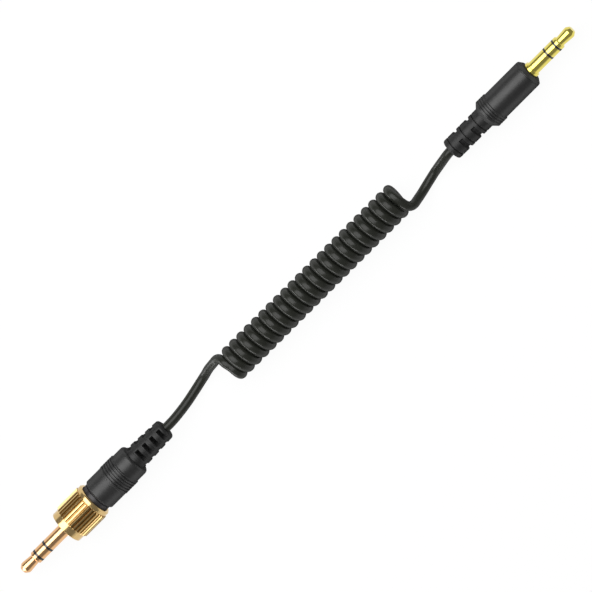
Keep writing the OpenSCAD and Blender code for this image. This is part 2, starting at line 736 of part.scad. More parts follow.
function tuck(t) = t < 0.5 ? pow(sin(360 * t), 2) : 0;
function curl_point(t) =
    let (r = coil_r - tuck_in * tuck(t), a = 360 * t)
    [coil_pitch * t, r * cos(a), r * sin(a)];
curl_points = [for (k = [1 : coil_turns * curl_rings - 1]) curl_point(k / curl_rings)];
coil_path = [for (q = concat(start_hook, curl_points, [for (h = end_hook) h + [coil_len, 0, 0]]))
    q + [coil_x, coil_y, coil_h]];
coil_up = [for (q = coil_path) [0, q[1] - coil_y, q[2] - coil_h]];

// Least distance between the coil's surface and itself, from each ring to the turns beside it
function to_segment(q, a, b) =
    let (d = b - a, s = min(1, max(0, (q - a) * d / (d * d)))) norm(q - a - s * d);
coil_gap = min([for (i = [0 : len(coil_path) - 1], j = [i + 4 : min(i + 16, len(coil_path) - 2)])
    to_segment(coil_path[i], coil_path[j], coil_path[j + 1])]) - cord_d;
echo(coil_least_gap_mm = coil_gap);

// Free stretches, from each boot's end to the coil's end. The points between are set out from the
// coil's first and last turn, with z from the surface, and each stretch ends straight along X.
lock_route = [[-18.8, 0.8, 4.6], [-15.4, 1.2, 3.5], [-12.2, 1.8, 2.2], [-9.8, 2.35, 1.3]];
plug_route = [[11.4, -1.75, 1.5], [13.6, -1.15, 2.7]];
stub = [cord_d / 2, 0, 0];
lock_lead_start = [lock_tip_x + lock_end_z, lock_y, lock_h];
lock_lead_end = coil_path[0];
plug_lead_start = coil_path[len(coil_path) - 1];
plug_lead_end = [plug_tip_x - plug_end_z, plug_y, plug_h];
lead_lock_path = concat(
    [lock_lead_start, lock_lead_start + stub],
    [for (q = lock_route) [coil_x + q[0], coil_y + q[1], q[2]]],
    [lock_lead_end - stub, lock_lead_end]);
lead_plug_path = concat(
    [plug_lead_start, plug_lead_start + stub],
    [for (q = plug_route) [coil_x + coil_len + q[0], coil_y + q[1], q[2]]],
    [plug_lead_end - stub, plug_lead_end]);
lead_sides = 8;
coil_sides = 6;

module lead_lock_side() {
    color([0.15, 0.15, 0.14])
        swept_tube(lead_lock_path, [for (q = lead_lock_path) [0, 0, 1]], cord_d / 2, lead_sides);
}

module coil() {
    color([0.15, 0.15, 0.14]) swept_tube(coil_path, coil_up, cord_d / 2, coil_sides);
}

module lead_plug_side() {
    color([0.15, 0.15, 0.14])
        swept_tube(lead_plug_path, [for (q = lead_plug_path) [0, 0, 1]], cord_d / 2, lead_sides);
}

lock_tip_contact();
lock_tip_insulator();
lock_ring_contact();
lock_ring_insulator();
lock_sleeve_contact();
lock_bush();
lock_neck();
lock_body();
lock_inner_mould();
lock_wires();
lock_cord_crimp();
lock_strain_relief();
lock_cord_end();
lock_snap_ring();
lock_nut();
plug_tip_contact();
plug_tip_insulator();
plug_ring_contact();
plug_ring_insulator();
plug_sleeve_contact();
plug_body();
plug_inner_mould();
plug_wires();
plug_cord_crimp();
plug_strain_relief();
plug_cord_end();
lead_lock_side();
coil();
lead_plug_side();
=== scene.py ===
"""Studio scene of a short curly stereo cord.

The cord lies along X on a pale floor. A locking plug with a knurled coupling nut is at its -X
end and a plain moulded plug at its +X end. Every turned piece is drawn in its own plug's frame,
in millimetres back from the tip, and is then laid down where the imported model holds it.
"""

import logging
import math
from collections.abc import Sequence
from dataclasses import dataclass
from enum import Enum

import bmesh
import bpy
from mathutils import Matrix, Vector
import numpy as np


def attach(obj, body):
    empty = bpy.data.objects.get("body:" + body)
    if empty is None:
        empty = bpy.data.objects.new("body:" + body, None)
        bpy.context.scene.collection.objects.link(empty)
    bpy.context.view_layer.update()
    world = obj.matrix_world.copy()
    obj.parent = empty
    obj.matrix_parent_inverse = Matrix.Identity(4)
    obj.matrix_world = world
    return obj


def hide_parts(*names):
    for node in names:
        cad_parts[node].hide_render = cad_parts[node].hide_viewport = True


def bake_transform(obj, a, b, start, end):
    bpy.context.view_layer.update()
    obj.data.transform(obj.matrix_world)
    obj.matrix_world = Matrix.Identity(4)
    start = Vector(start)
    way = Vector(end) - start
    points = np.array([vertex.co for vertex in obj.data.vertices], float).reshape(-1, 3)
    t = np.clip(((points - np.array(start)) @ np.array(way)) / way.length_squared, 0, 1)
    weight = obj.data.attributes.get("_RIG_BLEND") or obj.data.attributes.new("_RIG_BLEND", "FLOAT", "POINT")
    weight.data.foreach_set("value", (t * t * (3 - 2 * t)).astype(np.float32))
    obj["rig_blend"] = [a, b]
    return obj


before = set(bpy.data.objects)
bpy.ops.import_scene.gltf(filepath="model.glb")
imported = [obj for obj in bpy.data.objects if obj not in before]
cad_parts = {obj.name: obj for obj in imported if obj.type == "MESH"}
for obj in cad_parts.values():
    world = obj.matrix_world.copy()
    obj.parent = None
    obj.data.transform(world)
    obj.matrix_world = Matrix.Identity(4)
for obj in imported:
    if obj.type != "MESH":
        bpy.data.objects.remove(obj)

MM = 0.001
TURN = 2 * math.pi
SAME = 1e-4  # millimetres within which two points count as one
STRAIGHT = math.radians(178)  # corners flatter than this aren't rounded
EDGE_SHARE = 0.49  # greatest share of an edge that the rounding of one corner takes up
LOG = logging.getLogger("curly_cord")


class Body(Enum):
    """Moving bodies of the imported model."""

    LOCK_PLUG = "lock_plug"
    COUPLING_NUT = "coupling_nut"
    PLAIN_PLUG = "plain_plug"


class Slot(Enum):
    """Finishes that the record names."""

    ROSE_GOLD = "rose_gold_contact"
    YELLOW_GOLD = "yellow_gold_contact"
    INSULATOR = "insulator"
    NUT_GOLD = "nut_gold"
    STEEL = "plated_steel"
    NECK = "neck_black"
    MOULDED = "moulded_black"
    BOOT = "boot_black"
    CORD = "cord_black"
    NATURAL = "natural_plastic"
    WIRE = "wire_red"


# ---------------- finishes


class NodeSheet:
    """A node material in the making: one Principled shader and helpers that feed it.

    Attributes:
        NUMBERS: Sockets where a Mix node takes its two numbers and gives their mix.
        COLORS: Sockets where it takes its two colours and gives their mix.
    """

    NUMBERS = (2, 3, 0)
    COLORS = (6, 7, 2)

    def __init__(self, name: str) -> None:
        """Start an empty material.

        Args:
            name: Name of the material.
        """
        self.material = bpy.data.materials.new(name)
        self.material.use_nodes = True
        self.tree = self.material.node_tree
        self.tree.nodes.clear()
        self.shader = self.add("ShaderNodeBsdfPrincipled")
        output = self.add("ShaderNodeOutputMaterial")
        self.join(self.shader.outputs["BSDF"], output.inputs["Surface"])

    def add(self, kind: str, **settings: object) -> bpy.types.Node:
        """Add a node and set its properties.

        Args:
            kind: Blender's name for the node type.
            settings: Properties of the node and their values.

        Returns:
            The new node.
        """
        node = self.tree.nodes.new(kind)
        for key, value in settings.items():
            setattr(node, key, value)
        return node

    def join(self, source: bpy.types.NodeSocket, target: bpy.types.NodeSocket) -> None:
        """Link one socket to another."""
        self.tree.links.new(source, target)

    def place(
        self, stretch: tuple[float, float, float] = (1, 1, 1), source: str = "Object"
    ) -> bpy.types.NodeSocket:
        """Give coordinates in millimetres on the piece.

        Args:
            stretch: Factors that squeeze the pattern along X, Y and Z.
            source: Output of the Texture Coordinate node.

        Returns:
            The socket that holds the coordinates.
        """
        coordinates = self.add("ShaderNodeTexCoord")
        mapping = self.add("ShaderNodeMapping")
        unit = 1000 if source == "Object" else 1
        mapping.inputs["Scale"].default_value = [unit * s for s in stretch]
        self.join(coordinates.outputs[source], mapping.inputs["Vector"])
        return mapping.outputs["Vector"]

    def noise(
        self, where: bpy.types.NodeSocket, scale: float, detail: float = 3.0, rough: float = 0.5
    ) -> bpy.types.NodeSocket:
        """Add a noise pattern.

        Args:
            where: Coordinates.
            scale: Spots per unit of the coordinates.
            detail: Octaves.
            rough: Weight of the finer octaves.

        Returns:
            The noise value, about 0.5 in the middle.
        """
        node = self.add("ShaderNodeTexNoise")
        node.inputs["Scale"].default_value = scale
        node.inputs["Detail"].default_value = detail
        node.inputs["Roughness"].default_value = rough
        self.join(where, node.inputs["Vector"])
        return node.outputs["Fac"]

    def spread(
        self,
        value: bpy.types.NodeSocket,
        low: float,
        high: float,
        span: tuple[float, float] = (0.3, 0.7),
    ) -> bpy.types.NodeSocket:
        """Map a value from a span to a new range.

        Args:
            value: Value to map.
            low: Result at the span's start.
            high: Result at the span's end.
            span: Start and end of what is mapped.

        Returns:
            The mapped value.
        """
        node = self.add("ShaderNodeMapRange", clamp=True)
        node.inputs["From Min"].default_value = span[0]
        node.inputs["From Max"].default_value = span[1]
        node.inputs["To Min"].default_value = low
        node.inputs["To Max"].default_value = high
        self.join(value, node.inputs["Value"])
        return node.outputs["Result"]

    def mix(
        self,
        factor: bpy.types.NodeSocket,
        first: Sequence[float] | bpy.types.NodeSocket,
        second: Sequence[float] | float,
    ) -> bpy.types.NodeSocket:
        """Mix two colours, or a value with a number.

        Args:
            factor: Share of the second.
            first: Colour, or the socket that holds the colour or value, at factor 0.
            second: Colour or number at factor 1.

        Returns:
            The mixed colour or value.
        """
        number = isinstance(second, float)
        one, two, result = self.NUMBERS if number else self.COLORS
        node = self.add("ShaderNodeMix", data_type="FLOAT" if number else "RGBA")
        self.join(factor, node.inputs["Factor"])
        if isinstance(first, bpy.types.NodeSocket):
            self.join(first, node.inputs[one])
        else:
            node.inputs[one].default_value = (*first, 1)
        node.inputs[two].default_value = second if number else (*second, 1)
        return node.outputs[result]

    def dull_edges(
        self, rough: bpy.types.NodeSocket, span: tuple[float, float] = (0.28, 0.68)
    ) -> bpy.types.NodeSocket:
        """Make a soft surface fully rough toward its outline, where it would mirror the floor.

        Args:
            rough: Roughness of the surface seen face on.
            span: How far the surface has turned away where the roughening starts and ends.

        Returns:
            The roughness.
        """
        facing = self.add("ShaderNodeLayerWeight").outputs["Facing"]
        return self.mix(self.spread(facing, 0, 1, span), rough, 1.0)

    def bump(self, height: bpy.types.NodeSocket, depth: float, strength: float) -> None:
        """Raise the surface by a height, on top of earlier bumps.

        Args:
            height: Height from 0 to 1.
            depth: Height of 1, in millimetres.
            strength: Share of the effect.
        """
        node = self.add("ShaderNodeBump")
        node.inputs["Strength"].default_value = strength
        node.inputs["Distance"].default_value = depth * MM
        self.join(height, node.inputs["Height"])
        normal = self.shader.inputs["Normal"]
        if normal.is_linked:
            self.join(normal.links[0].from_socket, node.inputs["Normal"])
        self.join(node.outputs["Normal"], normal)


@dataclass(frozen=True)
class PlatedMetal:
    """Polished plating on a turned contact.

    Attributes:
        name: Name of the material.
        color: Colour of the plating.
        shade: Colour where it has dulled.
        roughness: Least and greatest roughness.
        turning: Depth of the turning marks in millimetres.
        valley_shade_color: Colour of painted shade, laid where the piece's groove attribute is 1, in the
            valleys of a knurl, or None.
    """

    name: str
    color: tuple[float, float, float]
    shade: tuple[float, float, float]
    roughness: tuple[float, float]
    turning: float = 0.002
    valley_shade_color: tuple[float, float, float] | None = None

    def material(self) -> bpy.types.Material:
        """Build the material.

        Returns:
            The material.
        """
        sheet = NodeSheet(self.name)
        place = sheet.place()
        sheet.shader.inputs["Metallic"].default_value = 1.0
        cloud = sheet.spread(sheet.noise(place, scale=0.35, detail=4, rough=0.6), 0.0, 0.6)
        color = sheet.mix(cloud, self.color, self.shade)
        # Painted shade: where the groove attribute marks a knurl's valleys, the colour turns toward a deep
        # brown, broken up by noise.
        if self.valley_shade_color is not None:
            groove = sheet.add("ShaderNodeAttribute", attribute_name="groove")
            valley_shade_mask = sheet.add("ShaderNodeMath", operation="MULTIPLY")
            sheet.join(groove.outputs["Fac"], valley_shade_mask.inputs[0])
            sheet.join(sheet.spread(sheet.noise(place, scale=1.2), 0.75, 1.0), valley_shade_mask.inputs[1])
            color = sheet.mix(valley_shade_mask.outputs[0], color, self.valley_shade_color)
        sheet.join(color, sheet.shader.inputs["Base Color"])
        smear = sheet.noise(sheet.place((0.4, 1.6, 1.6)), scale=0.9, detail=5, rough=0.65)
        sheet.join(sheet.spread(smear, *self.roughness), sheet.shader.inputs["Roughness"])
        marks = sheet.noise(sheet.place((14.0, 0.15, 0.15)), scale=1.0, detail=2)
        sheet.bump(marks, self.turning, strength=0.5)
        return sheet.material


@dataclass(frozen=True)
class MouldedPlastic:
    """Moulded plastic or rubber with a fine mould texture.

    Attributes:
        name: Name of the material.
        color: Main colour.
        shade: Colour of the darker clouds.
        roughness: Least and greatest roughness.
        grain: Depth of the fine grain in millimetres.
        grain_scale: Grains per millimetre.
        waves: Depth of the slow unevenness in millimetres.
        ior: Index of refraction, which sets how much of the lamps shows.
        hollow_shade_color: Colour of painted shade on the floors of sunk windows, where the piece's hollow
            attribute is 1.
    """

    name: str
    color: tuple[float, float, float]
    shade: tuple[float, float, float]
    roughness: tuple[float, float] = (0.36, 0.44)
    grain: float = 0.004
    grain_scale: float = 9.0
    waves: float = 0.008
    ior: float = 1.5
    hollow_shade_color: tuple[float, float, float] = (0.001, 0.001, 0.001)

    def material(self) -> bpy.types.Material:
        """Build the material.

        Returns:
            The material.
        """
        sheet = NodeSheet(self.name)
        sheet.shader.inputs["IOR"].default_value = self.ior
        place = sheet.place()
        cloud = sheet.spread(sheet.noise(place, scale=0.6, detail=5, rough=0.6), 0.0, 1.0)
        speck = sheet.spread(sheet.noise(place, scale=16.0, detail=2), 0.0, 0.05, (0.62, 0.75))
        color = sheet.mix(cloud, self.color, self.shade)
        pale = tuple(min(1.0, 3.0 * c + 0.02) for c in self.color)
        # Painted shade: the floor of a sunk window, marked by the hollow attribute, goes near black; the
        # same attribute makes it fully rough.
        hollow = sheet.add("ShaderNodeAttribute", attribute_name="hollow").outputs["Fac"]
        color = sheet.mix(hollow, sheet.mix(speck, color, pale), self.hollow_shade_color)
        sheet.join(color, sheet.shader.inputs["Base Color"])
        rub = sheet.noise(sheet.place((0.5, 1.2, 1.2)), scale=1.1, detail=5, rough=0.65)
        rough = sheet.mix(hollow, sheet.dull_edges(sheet.spread(rub, *self.roughness)), 1.0)
        sheet.join(rough, sheet.shader.inputs["Roughness"])
        sheet.bump(sheet.noise(place, scale=0.45, detail=2), self.waves, strength=0.5)
        grain = sheet.noise(place, self.grain_scale, rough=0.6)
        sheet.bump(grain, self.grain, strength=0.7)
        return sheet.material


@dataclass(frozen=True)
class CordJacket:
    """Soft extruded jacket, whose marks run along the cord by its own UV map.

    Attributes:
        name: Name of the material.
        color: Main colour.
        shade: Colour of the darker stretches.
        roughness: Least and greatest roughness.
        lines: Depth of the extrusion lines in millimetres.
        grain: Depth of the fine grain in millimetres.
        ior: Index of refraction, which sets how much of the lamps shows.
    """

    name: str
    color: tuple[float, float, float]
    shade: tuple[float, float, float]
    roughness: tuple[float, float] = (0.22, 0.30)
    lines: float = 0.002
    grain: float = 0.0006
    ior: float = 1.32

    def material(self) -> bpy.types.Material:
        """Build the material.

        Returns:
            The material.
        """
        sheet = NodeSheet(self.name)
        sheet.shader.inputs["IOR"].default_value = self.ior
        along = sheet.place((1.0, 0.25, 1.0), "UV")
        cloud = sheet.spread(sheet.noise(along, scale=1.3, detail=4, rough=0.6), 0.0, 1.0)
        sheet.join(sheet.mix(cloud, self.color, self.shade), sheet.shader.inputs["Base Color"])
        rub = sheet.noise(sheet.place((1.0, 0.8, 1.0), "UV"), scale=2.2, detail=5, rough=0.65)
        rough = sheet.dull_edges(sheet.spread(rub, *self.roughness), (0.45, 0.85))
        sheet.join(rough, sheet.shader.inputs["Roughness"])
        drawn = sheet.noise(sheet.place((3.0, 0.12, 1.0), "UV"), scale=2.0, detail=2)
        sheet.bump(drawn, self.lines, strength=0.6)
        fine = sheet.noise(sheet.place(source="UV"), scale=9.0, detail=2)
        sheet.bump(fine, self.grain, strength=0.6)
        return sheet.material


class Wardrobe:
    """Every finish of the object, each made once.

    Attributes:
        FINISHES: What each slot of the record looks like.
    """

    FINISHES = {
        Slot.ROSE_GOLD: PlatedMetal(
            "rose_gold_plating", color=(0.82, 0.49, 0.245), shade=(0.75, 0.43, 0.205),
            roughness=(0.13, 0.20),
        ),
        Slot.YELLOW_GOLD: PlatedMetal(
            "yellow_gold_plating", color=(0.81, 0.70, 0.165), shade=(0.74, 0.62, 0.14),
            roughness=(0.13, 0.20),
        ),
        # The nut's knurl valleys get painted shade in a deep brown.
        Slot.NUT_GOLD: PlatedMetal(
            "nut_gold_plating", color=(0.69, 0.49, 0.22), shade=(0.60, 0.41, 0.17),
            roughness=(0.15, 0.23), turning=0.003, valley_shade_color=(0.22, 0.12, 0.03),
        ),
        Slot.STEEL: PlatedMetal(
            "nickel_plating", color=(0.62, 0.61, 0.58), shade=(0.50, 0.49, 0.46),
            roughness=(0.22, 0.34),
        ),
        Slot.INSULATOR: MouldedPlastic(
            "insulator_black", color=(0.008, 0.008, 0.008), shade=(0.005, 0.005, 0.005),
            roughness=(0.12, 0.2), grain=0.002, waves=0.004, ior=1.7,
        ),
        Slot.NECK: MouldedPlastic(
            "neck_black", color=(0.018, 0.016, 0.018), shade=(0.012, 0.010, 0.012),
            roughness=(0.34, 0.44), grain=0.006, waves=0.01,
        ),
        Slot.MOULDED: MouldedPlastic(
            "moulded_black", color=(0.009, 0.009, 0.009), shade=(0.007, 0.007, 0.007)
        ),
        Slot.BOOT: MouldedPlastic(
            "boot_black", color=(0.008, 0.008, 0.008), shade=(0.006, 0.006, 0.006),
            roughness=(0.42, 0.52), grain=0.008, grain_scale=7.0, waves=0.012, ior=1.4,
        ),
        Slot.CORD: CordJacket(
            "cord_jacket", color=(0.016, 0.017, 0.0135), shade=(0.012, 0.013, 0.010)
        ),
        Slot.NATURAL: MouldedPlastic(
            "natural_nylon", color=(0.70, 0.69, 0.63), shade=(0.62, 0.61, 0.55)
        ),
        Slot.WIRE: MouldedPlastic(
            "wire_insulation", color=(0.50, 0.03, 0.02), shade=(0.42, 0.02, 0.015),
            roughness=(0.25, 0.35), waves=0.01,
        ),
    }

    def __init__(self) -> None:
        """Start with nothing made."""
        self._made: dict[Slot, bpy.types.Material] = {}

    def get(self, slot: Slot) -> bpy.types.Material:
        """Give the material of a slot, and make it if need be.

        Args:
            slot: Slot of the record.

        Returns:
            The material.
        """
        if slot not in self._made:
            self._made[slot] = self.FINISHES[slot].material()
        return self._made[slot]

    def dress(self, slots: dict[str, Slot]) -> None:
        """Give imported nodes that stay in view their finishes.

        Args:
            slots: Slot of the record for each node's name.
        """
        for node, slot in slots.items():
            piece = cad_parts[node]
            material = self.get(slot)
            if not piece.material_slots:
                piece.data.materials.append(material)
            for holder in piece.material_slots:
                holder.material = material
            LOG.info("dressed node %s as %s", node, slot.value)


# ---------------- workpieces


@dataclass(frozen=True)
class Corner:
    """A corner of a turned outline.

    Attributes:
        back: Distance back from the plug's tip in millimetres.
        radius: Distance from the axis in millimetres.
        rounding: Radius of the corner's rounding in millimetres.
    """

    back: float
    radius: float
    rounding: float = 0.0


def rounded(corners: Sequence[Corner], steps: int = 4) -> list[Vector]:
    """Round the corners of an outline.

    Args:
        corners: Corners in order.
        steps: Pieces of each rounding.

    Returns:
        Points with the radius in x and the distance back in z.
    """
    flat = [Vector((c.radius, 0.0, c.back)) for c in corners]
    points: list[Vector] = []
    for i, (corner, here) in enumerate(zip(corners, flat)):
        if corner.rounding <= 0 or i in (0, len(corners) - 1):
            points.append(here)
            continue
        back, on = flat[i - 1] - here, flat[i + 1] - here
        angle = back.angle(on)
        if angle > STRAIGHT:
            points.append(here)
            continue
        room = EDGE_SHARE * min(back.length, on.length)
        reach = min(corner.rounding / math.tan(angle / 2), room)
        first, last = here + back.normalized() * reach, here + on.normalized() * reach
        for k in range(steps + 1):
            t = k / steps
            points.append(first * (1 - t) ** 2 + here * (2 * t * (1 - t)) + last * t**2)
    return points


def groove(
    middle: float, radius: float, depth: float, halves: tuple[float, float], lip: float
) -> list[Corner]:
    """Give the corners of a groove that runs round a piece.

    Args:
        middle: Place of the groove's middle.
        radius: Radius of the surface that it is cut into.
        depth: Its depth.
        halves: Half of its width at the surface and half of its width at the floor.
        lip: Rounding of its outer corners.

    Returns:
        The corners, from the tip's side on.
    """
    wide, narrow = halves
    floor, foot = radius - depth, 0.05
    return [
        Corner(middle - wide, radius, lip), Corner(middle - narrow, floor, foot),
        Corner(middle + narrow, floor, foot), Corner(middle + wide, radius, lip),
    ]


@dataclass(frozen=True)
class Seat:
    """Where a plug's own frame lies in the row frame.

    Attributes:
        tip: Place of the tip in millimetres.
        toward: 1 where the plug runs back along +X and -1 where it runs back along -X.
    """

    tip: Vector
    toward: int

    def matrix(self) -> Matrix:
        """Give the transform from the plug's frame, in millimetres, to the row frame, in metres."""
        turn = Matrix.Rotation(math.radians(90 * self.toward), 4, "Y")
        return Matrix.Scale(MM, 4) @ Matrix.Translation(self.tip) @ turn


def make_object(
    name: str, bm: bmesh.types.BMesh, material: bpy.types.Material, smooth: float
) -> bpy.types.Object:
    """Turn a finished shape into an object of the scene.

    Args:
        name: Name of the object and its mesh.
        bm: The shape in metres, which is freed.
        material: Its finish.
        smooth: Greatest angle that is shaded smooth, in degrees.

    Returns:
        The object.
    """
    mesh = bpy.data.meshes.new(name)
    bm.to_mesh(mesh)
    bm.free()
    mesh.shade_smooth()
    mesh.set_sharp_from_angle(angle=math.radians(smooth))
    mesh.materials.append(material)
    made = bpy.data.objects.new(name, mesh)
    bpy.context.scene.collection.objects.link(made)
    return made


class Workpiece:
    """A piece being made in a plug's own frame, in millimetres, with its axis along Z."""

    def __init__(self, name: str) -> None:
        """Start with an empty mesh.

        Args:
            name: Name of the finished object.
        """
        self.name = name
        self.bm = bmesh.new()

    def turn(self, outline: Sequence[Vector], segments: int = 96) -> None:
        """Turn an outline about the axis.

        Args:
            outline: Points with the radius in x. A tube's outline ends where it starts.
            segments: Faces round the axis.
        """
        closed = (outline[0] - outline[-1]).length < SAME
        points = outline[:-1] if closed else outline
        verts = [self.bm.verts.new(p) for p in points]
        edges = [self.bm.edges.new(pair) for pair in zip(verts, verts[1:])]
        if closed:
            edges.append(self.bm.edges.new((verts[-1], verts[0])))
        bmesh.ops.spin(
            self.bm, geom=verts + edges, cent=(0, 0, 0), axis=(0, 0, 1), angle=TURN,
            steps=segments, use_merge=True,
        )
        bmesh.ops.remove_doubles(self.bm, verts=self.bm.verts, dist=SAME)

    def recess(
        self,
        back: tuple[float, float],
        toward: float,
        half: float,
        floor: float,
        painted_shade: float = 1.0,
        slope: float = 0.03,
    ) -> None:
        """Sink a window of the outer surface to a floor.

        Args:
            back: Start and end of the window back from the tip.
            toward: Direction of the window's middle in degrees.
            half: Half of the window's sweep in degrees.
            floor: Radius of the floor.
            painted_shade: How much painted shade darkens the floor, and how much rougher the floor gets,
                from 0 to 1.
            slope: Width of the window's sloping sides in millimetres.
        """

        def inside(face: bmesh.types.BMFace) -> bool:
            """Tell whether a face is part of the window.

            Args:
                face: A face of the piece.

            Returns:
                Whether the face is in the window's area and faces outward.
            """
            centre = face.calc_center_median()
            outward = face.normal.dot(Vector((centre.x, centre.y, 0))) > 0
            if not (back[0] < centre.z < back[1] and outward):
                return False
            turn = math.degrees(math.atan2(centre.y, centre.x)) - toward
            return abs((turn + 180) % 360 - 180) < half and Vector(centre.xy).length > floor

        bmesh.ops.recalc_face_normals(self.bm, faces=self.bm.faces)
        faces = [f for f in self.bm.faces if inside(f)]
        bmesh.ops.inset_region(
            self.bm, faces=faces, thickness=slope, depth=0.0, use_even_offset=True,
            use_boundary=True,
        )
        layers = self.bm.verts.layers.float
        # The hollow attribute carries the painted shade that the material lays on the window's floor.
        hollow = layers.get("hollow") or layers.new("hollow")
        for vert in {v for f in faces for v in f.verts}:
            level = Vector(vert.co.xy).length
            vert.co.x *= floor / level
            vert.co.y *= floor / level
            vert[hollow] = painted_shade

    def soften(self, offset: float, above: float, least: float = 50.0, segments: int = 2) -> None:
        """Round the sharp edges that show.

        Args:
            offset: Width of the rounding in millimetres.
            above: Least radius of the edges that are rounded.
            least: Least angle of an edge that is rounded, in degrees.
            segments: Faces across the rounding.
        """
        bmesh.ops.recalc_face_normals(self.bm, faces=self.bm.faces)
        edges = [
            e
            for e in self.bm.edges
            if len(e.link_faces) == 2
            and e.calc_face_angle_signed(0.0) > math.radians(least)
            and min(Vector(v.co.xy).length for v in e.verts) > above
        ]
        bmesh.ops.bevel(
            self.bm, geom=edges, offset=offset, offset_type="OFFSET", segments=segments,
            profile=0.5, affect="EDGES", clamp_overlap=True, material=-1,
        )

    def roll(self, degrees: float) -> None:
        """Turn the piece about its axis."""
        turn = Matrix.Rotation(math.radians(degrees), 3, "Z")
        bmesh.ops.rotate(self.bm, verts=self.bm.verts, cent=(0, 0, 0), matrix=turn)


@dataclass
class PlugPart:
    """Pieces of a plug that move together.

    Attributes:
        wardrobe: Finishes.
        seat: Where the plug lies.
        body: Body that the pieces move with.
    """

    wardrobe: Wardrobe
    seat: Seat
    body: Body

    def finish(self, work: Workpiece, slot: Slot, node: str, smooth: float = 35.0) -> None:
        """Lay a piece down, dress it and put it on the body.

        Args:
            work: The piece in the plug's own frame.
            slot: Slot of the record that the piece takes its finish from.
            node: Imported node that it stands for.
            smooth: Greatest angle that is shaded smooth, in degrees.
        """
        bmesh.ops.recalc_face_normals(work.bm, faces=work.bm.faces)
        bmesh.ops.transform(work.bm, matrix=self.seat.matrix(), verts=work.bm.verts)
        piece = make_object(work.name, work.bm, self.wardrobe.get(slot), smooth)
        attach(piece, self.body.value)
        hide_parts(node)
        faces = len(piece.data.polygons)
        LOG.info("made %s: %d faces, on %s", work.name, faces, self.body.value)


# ---------------- sizes


@dataclass(frozen=True)
class Layout:
    """Sizes that place the plugs and the coil, in millimetres.

    Attributes:
        lock_len: Length of the locking plug with its boot.
        plug_len: Length of the plain plug with its boot.
        lead_lock: Room from the locking plug's boot to the coil's first turn.
        lead_plug: Room from the coil's last turn to the plain plug's boot.
        turns: Turns of the coil.
        pitch: Advance of a turn.
        coil_radius: Radius to the middle of the cord.
        cord: Diameter of the cord.
        coil_y: Sideways place of the coil's axis.
        coil_z: Height of the coil's axis.
        lock_axis: Sideways place and height of the locking plug's axis.
        plug_axis: Sideways place and height of the plain plug's axis.
    """

    lock_len: float = 51.8
    plug_len: float = 43.35
    lead_lock: float = 22.45
    lead_plug: float = 17.2
    turns: float = 23.5
    pitch: float = 2.65
    coil_radius: float = 3.3
    cord: float = 2.45
    coil_y: float = -0.35
    coil_z: float = 4.6
    lock_axis: tuple[float, float] = (0.2, 5.125)
    plug_axis: tuple[float, float] = (-1.175, 4.15)

    @property
    def total(self) -> float:
        """Length of the whole object."""
        coil = self.turns * self.pitch
        return self.lock_len + self.lead_lock + coil + self.lead_plug + self.plug_len

    @property
    def lock_seat(self) -> Seat:
        """Seat of the locking plug."""
        return Seat(Vector((-self.total / 2, *self.lock_axis)), 1)

    @property
    def plug_seat(self) -> Seat:
        """Seat of the plain plug."""
        return Seat(Vector((self.total / 2, *self.plug_axis)), -1)

    @property
    def coil_start(self) -> float:
        """X of the coil's first turn."""
        return -self.total / 2 + self.lock_len + self.lead_lock

    @property
    def coil_end(self) -> float:
        """X of the coil's last turn."""
        return self.coil_start + self.turns * self.pitch


# ---------------- cord


